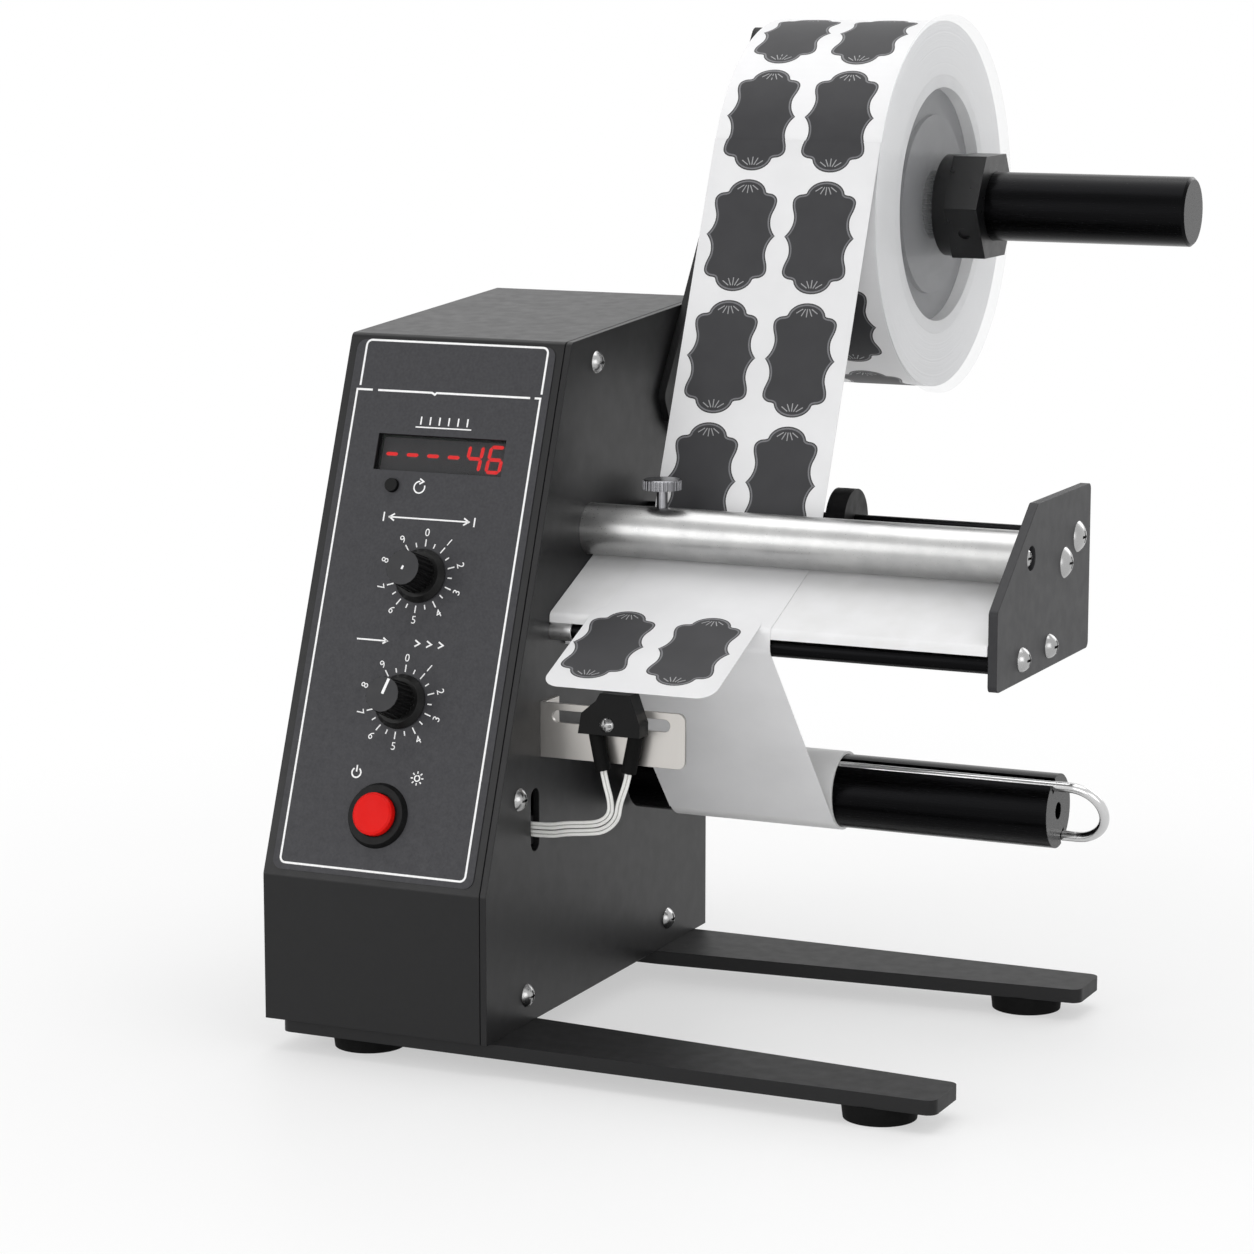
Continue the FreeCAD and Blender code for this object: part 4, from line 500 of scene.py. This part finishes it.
def tube_mesh(name, line, radius, sides=14):
    """A closed tube round a line of points."""
    shape = bmesh.new()
    rings = []
    across = Vector((0, 1, 0))
    for place, spot in enumerate(line):
        way = (line[min(place + 1, len(line) - 1)] - line[max(place - 1, 0)]).normalized()
        across = (across - way * across.dot(way)).normalized()
        over = way.cross(across)
        turns = [2 * math.pi * side / sides for side in range(sides)]
        rings.append([shape.verts.new(spot + (across * math.cos(turn) + over * math.sin(turn)) * radius)
                      for turn in turns])
    for near, far in zip(rings, rings[1:]):
        for side in range(sides):
            after = (side + 1) % sides
            shape.faces.new((near[side], near[after], far[after], far[side]))
    shape.faces.new(rings[0][::-1])
    shape.faces.new(rings[-1])
    bmesh.ops.recalc_face_normals(shape, faces=shape.faces)
    for face in shape.faces:
        face.smooth = len(face.verts) == 4
    mesh = bpy.data.meshes.new(name)
    shape.to_mesh(mesh)
    shape.free()
    return mesh


for node, (length, points) in WIRES.items():
    line = spline_line(node, [at(*point) for point in points])
    wire = mesh_piece(node + "_line", tube_mesh(node, line, WIRE_DIAMETER / 2 * MM), LOOKS["wire_white"], None)
    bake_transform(wire)
    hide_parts(node)


# Printed lines, dials and signs of the panel

PRINT = printed("print_white", "e6e6e6", "f2f2f2")
PRINT_DEPTH = 0.05
FRAME_WIDTH = 0.8
SIGN_WIDTH = 0.6
FINE_WIDTH = 0.5
CORNER_STEPS = 6

# The dials' middles across the panel and up the slope, and the reaches of their ticks and numbers
DIAL_MIDDLE = -48.2
DIALS = {"length": 119.493, "speed": 70.498}
DIAL_STEPS = 10
TICK_START, SHORT_TICK, LONG_TICK = 11.6, 13.4, 14.4
NUMBER_REACH = 17.1
NUMBER_HEIGHT = 3


def panel_print(name, faces):
    """A print on the panel's overlay."""
    raised(name, faces, on_panel, OVERLAY_FACE + PRINT_DEPTH, OVERLAY_FACE, PRINT, "frame")


def frame_lines():
    """The box round the head of the panel, the box below it, and the line between them with its nick."""
    corner = 2.2
    left, right, top, low = -87.5, -9.3, 211.3, 193
    upper = [(left, low)] + arc((left + corner, top - corner), corner, 270, 360, CORNER_STEPS)
    upper += arc((right - corner, top - corner), corner, 0, 90, CORNER_STEPS) + [(right, low)]
    faces = stroke(upper, FRAME_WIDTH)

    left, right, high, foot = -88.5, -9.5, 191.4, 5
    width = right - left
    left_stub, left_gap, right_gap, right_stub = 0.085 * width, 0.115 * width, 0.055 * width, 0.03 * width
    lower = [(left + left_stub, high), (left, high)]
    lower += arc((left + corner, foot + corner), corner, 270, 180, CORNER_STEPS)
    lower += arc((right - corner, foot + corner), corner, 180, 90, CORNER_STEPS)
    lower += [(right, high), (right - right_stub, high)]
    faces += stroke(lower, FRAME_WIDTH)

    nick = left + 0.43 * width
    nick_reach = 0.7
    divider = [(left + left_gap, high), (nick - 2 * nick_reach, high), (nick, high - nick_reach),
               (nick + nick_reach, high), (right - right_gap, high)]
    return faces + stroke(divider, FRAME_WIDTH)


def number_faces(number, centre, height, turn):
    """The faces of a printed number, centred, turned clockwise by an angle in degrees."""
    text = bpy.data.curves.new("number", "FONT")
    text.body = str(number)
    text.resolution_u = 3
    holder = bpy.data.objects.new("number", text)
    bpy.context.scene.collection.objects.link(holder)
    mesh = bpy.data.meshes.new_from_object(holder)
    spots = [vertex.co.copy() for vertex in mesh.vertices]
    low = Vector((min(spot.x for spot in spots), min(spot.y for spot in spots)))
    high = Vector((max(spot.x for spot in spots), max(spot.y for spot in spots)))
    scale = height / (high.y - low.y)
    cosine, sine = math.cos(math.radians(turn)), math.sin(math.radians(turn))
    placed = []
    for spot in spots:
        across = (spot.x - (low.x + high.x) / 2) * scale
        up = (spot.y - (low.y + high.y) / 2) * scale
        placed.append((centre[0] + across * cosine + up * sine, centre[1] - across * sine + up * cosine))
    faces = [[placed[corner] for corner in polygon.vertices] for polygon in mesh.polygons]
    bpy.data.objects.remove(holder)
    bpy.data.curves.remove(text)
    bpy.data.meshes.remove(mesh)
    return faces


def dial_faces(centre):
    """Ticks all round and the numbers from 0 at the top."""
    faces = []
    for step in range(2 * DIAL_STEPS):
        turn = 180 / DIAL_STEPS * step
        faces += ray(centre, TICK_START, SHORT_TICK if step % 2 else LONG_TICK, turn, FINE_WIDTH)
    for number in range(DIAL_STEPS):
        turn = 360 / DIAL_STEPS * number
        spot = arc(centre, NUMBER_REACH, turn, turn, 1)[0]
        lean = turn - 180 if 90 < turn < 270 else turn
        faces += number_faces(number, spot, NUMBER_HEIGHT, lean)
    return faces


def arrow(tip, way, size):
    """An open arrow head that points to the right where way is 1, and to the left where it is -1."""
    spread = 0.62
    u, v = tip
    return stroke([(u - way * size, v + way * size * spread), tip, (u - way * size, v - way * size * spread)],
                  SIGN_WIDTH)


def level(left, right, height, width=SIGN_WIDTH):
    """A line across the panel."""
    return stroke([(left, height), (right, height)], width)


def upright(across, low, high):
    """A line up the panel."""
    return stroke([(across, low), (across, high)], SIGN_WIDTH)


def count_sign(left=-58.6, foot=178.6):
    """Six strokes over a line."""
    pitch, height, margin = 4, 3.2, 2
    faces = []
    for step in range(6):
        faces += upright(left + pitch * step, foot, foot + height)
    return faces + level(left - margin, left + 5 * pitch + margin, foot - 1, FINE_WIDTH)


def reset_sign(u=-54.8, v=154):
    """An arrow that goes round."""
    radius, start, width, head_shift, head = 2.3, 70, 0.55, 1.5, 1.7
    return stroke(arc((u, v), radius, start, 360, 16), width) + arrow((u + head_shift, v + radius), 1, head)


def length_sign(left=-66, right=-31, height=141.7):
    """A double arrow between two stops."""
    head, inset, stop_gap, stop_reach = 2.2, 0.4, 2, 1.8
    faces = level(left, right, height)
    faces += arrow((right - inset, height), 1, head) + arrow((left + inset, height), -1, head)
    for across in (left - stop_gap, right + stop_gap):
        faces += upright(across, height - stop_reach, height + stop_reach)
    return faces


def speed_sign(left=-71, right=-58, height=93.4):
    """An arrow, and three arrow heads behind it."""
    head, row_head, row_gap, row_pitch = 1.8, 2, 14, 5
    faces = level(left, right, height) + arrow((right, height), 1, head)
    for step in range(3):
        faces += arrow((right + row_gap + row_pitch * step, height), 1, row_head)
    return faces


def power_sign(u=-62, v=42):
    """An open circle with a stroke in its gap."""
    radius, gap, foot, top = 1.9, 35, 0.3, 2.9
    return stroke(arc((u, v), radius, gap, 360 - gap, 18), SIGN_WIDTH) + upright(u, v + foot, v + top)


def light_sign(u=-36, v=42):
    """A small sun."""
    radius, rays, near, far = 1.1, 8, 1.8, 2.7
    faces = stroke(arc((u, v), radius, 0, 345, 14), FINE_WIDTH)
    for step in range(rays):
        faces += ray((u, v), near, far, 360 / rays * step, FINE_WIDTH)
    return faces


panel_print("panel_lines", frame_lines())
for dial, height in DIALS.items():
    panel_print(dial + "_dial", dial_faces((DIAL_MIDDLE, height)))
panel_print("panel_signs",
            count_sign() + reset_sign() + length_sign() + speed_sign() + power_sign() + light_sign())


# Lit display: four dashes and a number of two digits behind the smoked window

GLOW = lit("lit_red", "e01c1c", 3.4)
FILM = printed("display_film", "a2a2a6", "a8a8ac", 0.6)

# Heights over the sheet metal: the digits' faces, and the foot and top of the film and of the segments
SEGMENT_FACE = -3.28
FILM_FOOT, FILM_TOP = SEGMENT_FACE - 0.02, SEGMENT_FACE + 0.08
SEGMENT_FOOT, SEGMENT_TOP = SEGMENT_FACE + 0.1, SEGMENT_FACE + 0.22
DIGIT_MIDDLE = (-48.5, 167.24)
DIGIT_PITCH = 8.9
SEGMENTS = {"dash": "g", "4": "bcfg", "6": "acdefg"}
SHOWN = ["dash"] * 4 + ["4", "6"]
FILM_HALF_WIDTH = DIGIT_PITCH * 3 - 0.2
FILM_HALF_HEIGHT = 6.6
FILM_CORNER = 1


def segment_faces(centre, kind):
    """Slanted seven-segment bars."""
    half_width, half_height, thick, slant = 2.75, 4.95, 1.35, 0.09
    corners = {
        "a": ((-1, 1), (1, 1)), "b": ((1, 1), (1, 0)), "c": ((1, 0), (1, -1)), "d": ((-1, -1), (1, -1)),
        "e": ((-1, 0), (-1, -1)), "f": ((-1, 1), (-1, 0)), "g": ((-1, 0), (1, 0)),
    }
    faces = []
    for name in SEGMENTS[kind]:
        ends = [Vector((across * half_width, up * half_height)) for across, up in corners[name]]
        way = (ends[1] - ends[0]).normalized()
        over = Vector((-way.y, way.x))
        tip = 0.12
        shoulder = thick / 2 + tip
        outline = [ends[0] + way * tip, ends[0] + way * shoulder - over * thick / 2,
                   ends[1] - way * shoulder - over * thick / 2, ends[1] - way * tip,
                   ends[1] - way * shoulder + over * thick / 2, ends[0] + way * shoulder + over * thick / 2]
        faces.append([(centre[0] + spot.x + spot.y * slant, centre[1] + spot.y) for spot in outline])
    return faces


display_faces = []
for place, kind in enumerate(SHOWN):
    across = DIGIT_MIDDLE[0] + (place - (len(SHOWN) - 1) / 2) * DIGIT_PITCH
    display_faces += segment_faces((across, DIGIT_MIDDLE[1]), kind)
raised("display_segments", display_faces, on_panel, SEGMENT_TOP, SEGMENT_FOOT, GLOW, "frame")
film = []
for turn, side, up in ((0, 1, 1), (90, 1, -1), (180, -1, -1), (270, -1, 1)):
    corner = (DIGIT_MIDDLE[0] + side * (FILM_HALF_WIDTH - FILM_CORNER),
              DIGIT_MIDDLE[1] + up * (FILM_HALF_HEIGHT - FILM_CORNER))
    film += arc(corner, FILM_CORNER, turn, turn + 90, 5)
raised("display_film", [film[::-1]], on_panel, FILM_TOP, FILM_FOOT, FILM, "frame")


# Knob caps with their pointers

CAP = plastic("knob_cap", "28282a", "2e2e30", 0.5, grain=0.7, depth=0.01, Specular_IOR_Level=0.3)
KNOB_FACE = 16.0
CAP_FOOT, CAP_TOP = KNOB_FACE - 0.1, KNOB_FACE + 0.12
POINTER_FOOT, POINTER_TOP = KNOB_FACE + 0.05, KNOB_FACE + 0.2
CAP_RADIUS = 6.7

# Each pointer's two reaches from the knob's middle, its turn in degrees and its width
POINTERS = {"length": (-0.8, 0.7, 20, 0.8), "speed": (0.2, 6.4, 17, 1.1)}

for dial, height in DIALS.items():
    centre = (DIAL_MIDDLE, height)
    body = dial + "_knob_body"
    cap = [arc(centre, CAP_RADIUS, 360, 0, 48)[:-1]]
    raised(dial + "_knob_cap", cap, on_panel, CAP_TOP, CAP_FOOT, CAP, body)
    pointer = ray(centre, *POINTERS[dial])
    raised(dial + "_pointer", pointer, on_panel, POINTER_TOP, POINTER_FOOT, PRINT, body)


# Bracket-shaped labels on the strip, the roll and the peeled sheet

LABEL_FACE = Look("label_face", "363638", 0.5, Specular_IOR_Level=0.22)
LABEL_FACE.tint(LABEL_FACE.noise(12, 3), "343436", "39393b")
LABEL_FACE.relief(LABEL_FACE.noise(0.6, 2), 0.15, 0.02)
LABEL_EDGE = printed("label_edge", "161617", "1c1c1d", 0.45)
LABEL_BAND = printed("label_band", "626265", "6c6c6f", 0.45)
LABEL_RAYS = printed("label_rays", "8c8c8e", "989899", 0.45)

# A quarter of a label's outline as curves: side notch, side, shoulder, horn and crown
OUTLINE = [
    ((14.5, 0), (12.9, 1.6), (11.6, 3.9), (11.6, 6.9)),
    ((11.6, 6.9), (11.6, 9.6), (13.2, 11.0), (13.2, 14.1)),
    ((13.2, 14.1), (13.2, 16.2), (11.2, 17.3), (9.6, 17.4)),
    ((9.6, 17.4), (8.9, 17.45), (8.3, 17.6), (7.9, 17.9)),
    ((7.9, 17.9), (7.1, 21.2), (3.6, 23.0), (0, 23.0)),
]
WEB_LEFT = 21
WEB_OUTER = 0.125
COLUMNS = (WEB_LEFT + 17.5, WEB_LEFT + 50.5)
ROW_PITCH = 49.6
FIRST_ROW = -10.1
NEXT_LAYER = 77
STRIP_STOP = 1
WHOLE_TURN = 500
BAND_WIDTH = 0.62
RAY_WIDTH = 0.4
FOOT_LIFT = 0.01

# Each print's look, name, inset from the outline and height over the paper
LAYERS = (
    (LABEL_EDGE, "edge", 0, 0.03),
    (LABEL_FACE, "face", 0.5, 0.045),
    (LABEL_BAND, "band", 0.82, 0.06),
    (LABEL_RAYS, "rays", 0, 0.06),
)
# The rays' near and far ends
RAYS = ((0, 20.6, 0, 17.3), (0.8, 20.6, 2.2, 17.7), (1.8, 20.6, 4.4, 18.8), (-0.8, 20.6, -2.2, 17.7),
        (-1.8, 20.6, -4.4, 18.8))


def quarter(steps=7):
    """The outline's points in its first quarter, from the side notch to the top."""
    points = []
    for bezier in OUTLINE:
        for step in range(steps):
            t = step / steps
            weights = ((1 - t) ** 3, 3 * t * (1 - t) ** 2, 3 * t * t * (1 - t), t ** 3)
            points.append(tuple(sum(weight * spot[axis] for weight, spot in zip(weights, bezier))
                                for axis in (0, 1)))
    return points + [OUTLINE[-1][-1]]


def whole_outline(points):
    """The closed outline, mirrored from its first quarter, anticlockwise."""
    right = points[:-1]
    upper = right + [points[-1]] + [(-u, v) for u, v in reversed(right)]
    return upper + [(u, -v) for u, v in reversed(upper[1:-1])]


def inset_points(points, inset):
    """A closed outline moved inwards."""
    spots = [Vector(point) for point in points]
    moved = []
    for place, spot in enumerate(spots):
        way = (spots[(place + 1) % len(spots)] - spots[place - 1]).normalized()
        moved.append(tuple(spot + Vector((-way.y, way.x)) * inset))
    return moved


def slabs(points):
    """Rows that fill an outline that is symmetrical about its upright middle, bottom to top."""
    least = 0.004
    half = sorted(((v, u) for u, v in points if u >= 0), key=lambda spot: spot[0])
    faces = []
    for (low, low_reach), (high, high_reach) in zip(half, half[1:]):
        if high - low > least:
            faces.append([(-low_reach, low), (low_reach, low), (high_reach, high), (-high_reach, high)])
    return faces


def fan():
    """Five short rays at each end of a label."""
    faces = []
    for side in (1, -1):
        for near_u, near_v, far_u, far_v in RAYS:
            faces += stroke([(near_u, side * near_v), (far_u, side * far_v)], RAY_WIDTH)
    return faces


def label_faces():
    """Each layer's flat faces round (0, 0)."""
    outline = whole_outline(quarter())
    faces = {}
    for _, layer, inset, _ in LAYERS:
        shape = inset_points(outline, inset) if inset else outline
        if layer == "rays":
            faces[layer] = fan()
        elif layer == "band":
            faces[layer] = stroke(shape, BAND_WIDTH, closed=True)
        else:
            faces[layer] = slabs(shape)
    return faces


def clipped(face, low, high):
    """A face cut to heights between low and high."""
    for limit, sign in ((low, 1), (high, -1)):
        kept = []
        for place, (u, v) in enumerate(face):
            past_u, past_v = face[place - 1]
            inside, was_inside = sign * (v - limit) >= 0, sign * (past_v - limit) >= 0
            if inside != was_inside:
                share = (limit - past_v) / (v - past_v)
                kept.append((past_u + (u - past_u) * share, limit))
            if inside:
                kept.append((u, v))
        face = kept
        if len(face) < 3:
            return None
    return face


def turned(vector, angle):
    """A vector of the side view turned about the X axis, in radians."""
    cosine, sine = math.cos(angle), math.sin(angle)
    return Vector((0, vector.y * cosine - vector.z * sine, vector.y * sine + vector.z * cosine))


# The strip runs straight from the front of the roll to the back of the silver tube. It crosses the line between
# their axes, and its middle layer stands off each axis by a radius.
ROLL_RADIUS = 73.5
RUN_ROLL_RADIUS = 73.925
RUN_TUBE_RADIUS = 10.225
ROLL_MIDDLE = Vector((0, *ROLL_AXIS))
TUBE_MIDDLE = Vector((0, 92, 183.5))
run_gap = TUBE_MIDDLE - ROLL_MIDDLE
RUN_WAY = turned(run_gap.normalized(), math.asin((RUN_TUBE_RADIUS + RUN_ROLL_RADIUS) / run_gap.length))
RUN_OUT = -turned(RUN_WAY, math.pi / 2)
RUN_START = ROLL_MIDDLE + RUN_OUT * RUN_ROLL_RADIUS
RUN_LENGTH = (TUBE_MIDDLE - RUN_OUT * RUN_TUBE_RADIUS - RUN_START).length


def on_strip(x, travel, out):
    """A point of the strip's printed side, travel measured from where it leaves the roll."""
    return at(*(X_WAY * x + RUN_START + RUN_WAY * travel + RUN_OUT * (WEB_OUTER + out)))


def on_roll(x, travel, out):
    """A point of the roll's outer layer."""
    return at(*(X_WAY * x + ROLL_MIDDLE + turned(RUN_OUT, travel / ROLL_RADIUS) * (ROLL_RADIUS + out)))


# The platform's slope, which the peeled sheet goes on with
SLOPE_FOOT = Vector((0, 54.9, 156))
SLOPE_WAY = Vector((0, 43.1, 18.7)).normalized()
SLOPE_UP = X_WAY.cross(SLOPE_WAY)
SHEET_TOP = 0.55
PEELED_COLUMNS = (32.8, 67.6)
PEELED_ROW = 18.5
PEELED_BACK, PEELED_FRONT = -7.9, 47.9


def on_peeled(x, travel, out):
    """A point of the peeled sheet, travel measured forwards from the platform's front edge."""
    return at(*(X_WAY * x + SLOPE_FOOT - SLOPE_WAY * travel + SLOPE_UP * (SHEET_TOP + out)))


FACES = label_faces()


def label(name, column, row, place, body, low, high):
    """The part of one label that lies between low and high along the travel."""
    for look, layer, inset, height in LAYERS:
        faces = []
        for face in FACES[layer]:
            kept = clipped([(column + u, row - v) for u, v in face], low, high)
            if kept:
                faces.append(kept)
        if faces:
            raised(f"{name}_{layer}", faces, place, height, FOOT_LIFT, look, body)


# Two rows of the roll go on in step with the strip, and the others share out the rest of the turn, up to
# NEXT_LAYER short of the place where the strip leaves the roll
strip_rows = [FIRST_ROW + ROW_PITCH * step for step in range(4)]
last_row = FIRST_ROW - ROW_PITCH
rest_rows = 6
rest_pitch = (2 * math.pi * ROLL_RADIUS - NEXT_LAYER + last_row) / rest_rows
roll_rows = [FIRST_ROW] + [last_row - rest_pitch * step for step in range(rest_rows + 1)]
for side, column in enumerate(COLUMNS, 1):
    for number, row in enumerate(strip_rows, 1):
        label(f"strip_label_{side}_{number}", column, row, on_strip, "frame", 0, RUN_LENGTH - STRIP_STOP)
    for number, row in enumerate(roll_rows, 1):
        label(f"roll_label_{side}_{number}", column, row, on_roll, "supply_spindle", -WHOLE_TURN, 0)
for side, column in enumerate(PEELED_COLUMNS, 1):
    label(f"peeled_label_{side}", column, PEELED_ROW, on_peeled, "frame", PEELED_BACK, PEELED_FRONT)


# Floor, lights and world


def area_light(name, place, aim, size, power):
    """A square soft lamp that looks at a point."""
    data = bpy.data.lights.new(name, "AREA")
    data.energy = power
    data.size = size
    lamp = bpy.data.objects.new(name, data)
    bpy.context.scene.collection.objects.link(lamp)
    lamp.location = place
    lamp.rotation_euler = (Vector(aim) - Vector(place)).to_track_quat("-Z", "Y").to_euler()


def seen_white(nodes, links, base, white, output, share=None):
    """Mixes in plain white for rays from the camera and for reflections and refractions of it."""
    path = nodes.new("ShaderNodeLightPath")
    total = path.outputs["Is Camera Ray"]
    for kind in ("Is Glossy Ray", "Is Transmission Ray"):
        add = nodes.new("ShaderNodeMath")
        add.operation = "MAXIMUM"
        links.new(total, add.inputs[0])
        links.new(path.outputs[kind], add.inputs[1])
        total = add.outputs["Value"]
    if share:
        part = nodes.new("ShaderNodeMath")
        part.operation = "MULTIPLY"
        links.new(total, part.inputs[0])
        links.new(share, part.inputs[1])
        total = part.outputs["Value"]
    mix = nodes.new("ShaderNodeMixShader")
    links.new(total, mix.inputs["Fac"])
    links.new(base, mix.inputs[1])
    links.new(white, mix.inputs[2])
    links.new(mix.outputs["Shader"], output)


WORLD_STRENGTH = 0.42
FLOOR_REACH = 6

# The floor's share of plain white grows from near the object to far off
NEAR_WHITE = 0.5
NEAR, FAR = 0.22, 0.6

world = bpy.data.worlds.new("studio")
bpy.context.scene.world = world
world.use_nodes = True
tree = world.node_tree
soft = tree.nodes["Background"]
soft.inputs["Color"].default_value = (1, 1, 1, 1)
soft.inputs["Strength"].default_value = WORLD_STRENGTH
white = tree.nodes.new("ShaderNodeBackground")
white.inputs["Color"].default_value = (1, 1, 1, 1)
white.inputs["Strength"].default_value = 1
seen_white(tree.nodes, tree.links, soft.outputs["Background"], white.outputs["Background"],
           tree.nodes["World Output"].inputs["Surface"])

floor_mesh = bpy.data.meshes.new("floor")
floor_mesh.from_pydata([(across * FLOOR_REACH, deep * FLOOR_REACH, 0)
                        for across, deep in ((-1, -1), (1, -1), (1, 1), (-1, 1))], [], [(0, 1, 2, 3)])
floor = bpy.data.objects.new("floor", floor_mesh)
bpy.context.scene.collection.objects.link(floor)
floor_look = Look("floor", "f8f8f8", 0.5)
floor_look.tint(floor_look.noise(300, 2), "f7f7f7", "fafafa")
glow = floor_look.nodes.new("ShaderNodeEmission")
distance = floor_look.nodes.new("ShaderNodeVectorMath")
distance.operation = "LENGTH"
floor_look.link(floor_look.place, distance.inputs[0])
away = floor_look.nodes.new("ShaderNodeMapRange")
away.interpolation_type = "SMOOTHSTEP"
away.inputs["From Min"].default_value = NEAR
away.inputs["From Max"].default_value = FAR
away.inputs["To Min"].default_value = NEAR_WHITE
floor_look.link(distance.outputs["Value"], away.inputs["Value"])
seen_white(floor_look.nodes, floor_look.material.node_tree.links, floor_look.shader.outputs["BSDF"],
           glow.outputs["Emission"], floor_look.nodes["Material Output"].inputs["Surface"], away.outputs["Result"])
floor_mesh.materials.append(floor_look.material)

# Each lamp's place and aim in metres, its size, and its power in watts
MIDDLE = (0, 0, 0.2)
LAMPS = {
    "overhead": ((-0.1, 0.1, 1.6), MIDDLE, 1.6, 14),
    "key": ((-1.0, -1.5, 0.55), MIDDLE, 1.0, 7),
    "fill": ((1.5, -1.0, 0.45), MIDDLE, 1.0, 5),
    "back": ((0.6, 1.4, 0.9), MIDDLE, 0.9, 5),
    "low": ((0.35, -1.3, 0.12), (0.02, 0, 0.12), 0.7, 4),
}
for name, (place, aim, size, power) in LAMPS.items():
    area_light(name, place, aim, size, power)

bpy.context.scene.view_settings.view_transform = "Standard"
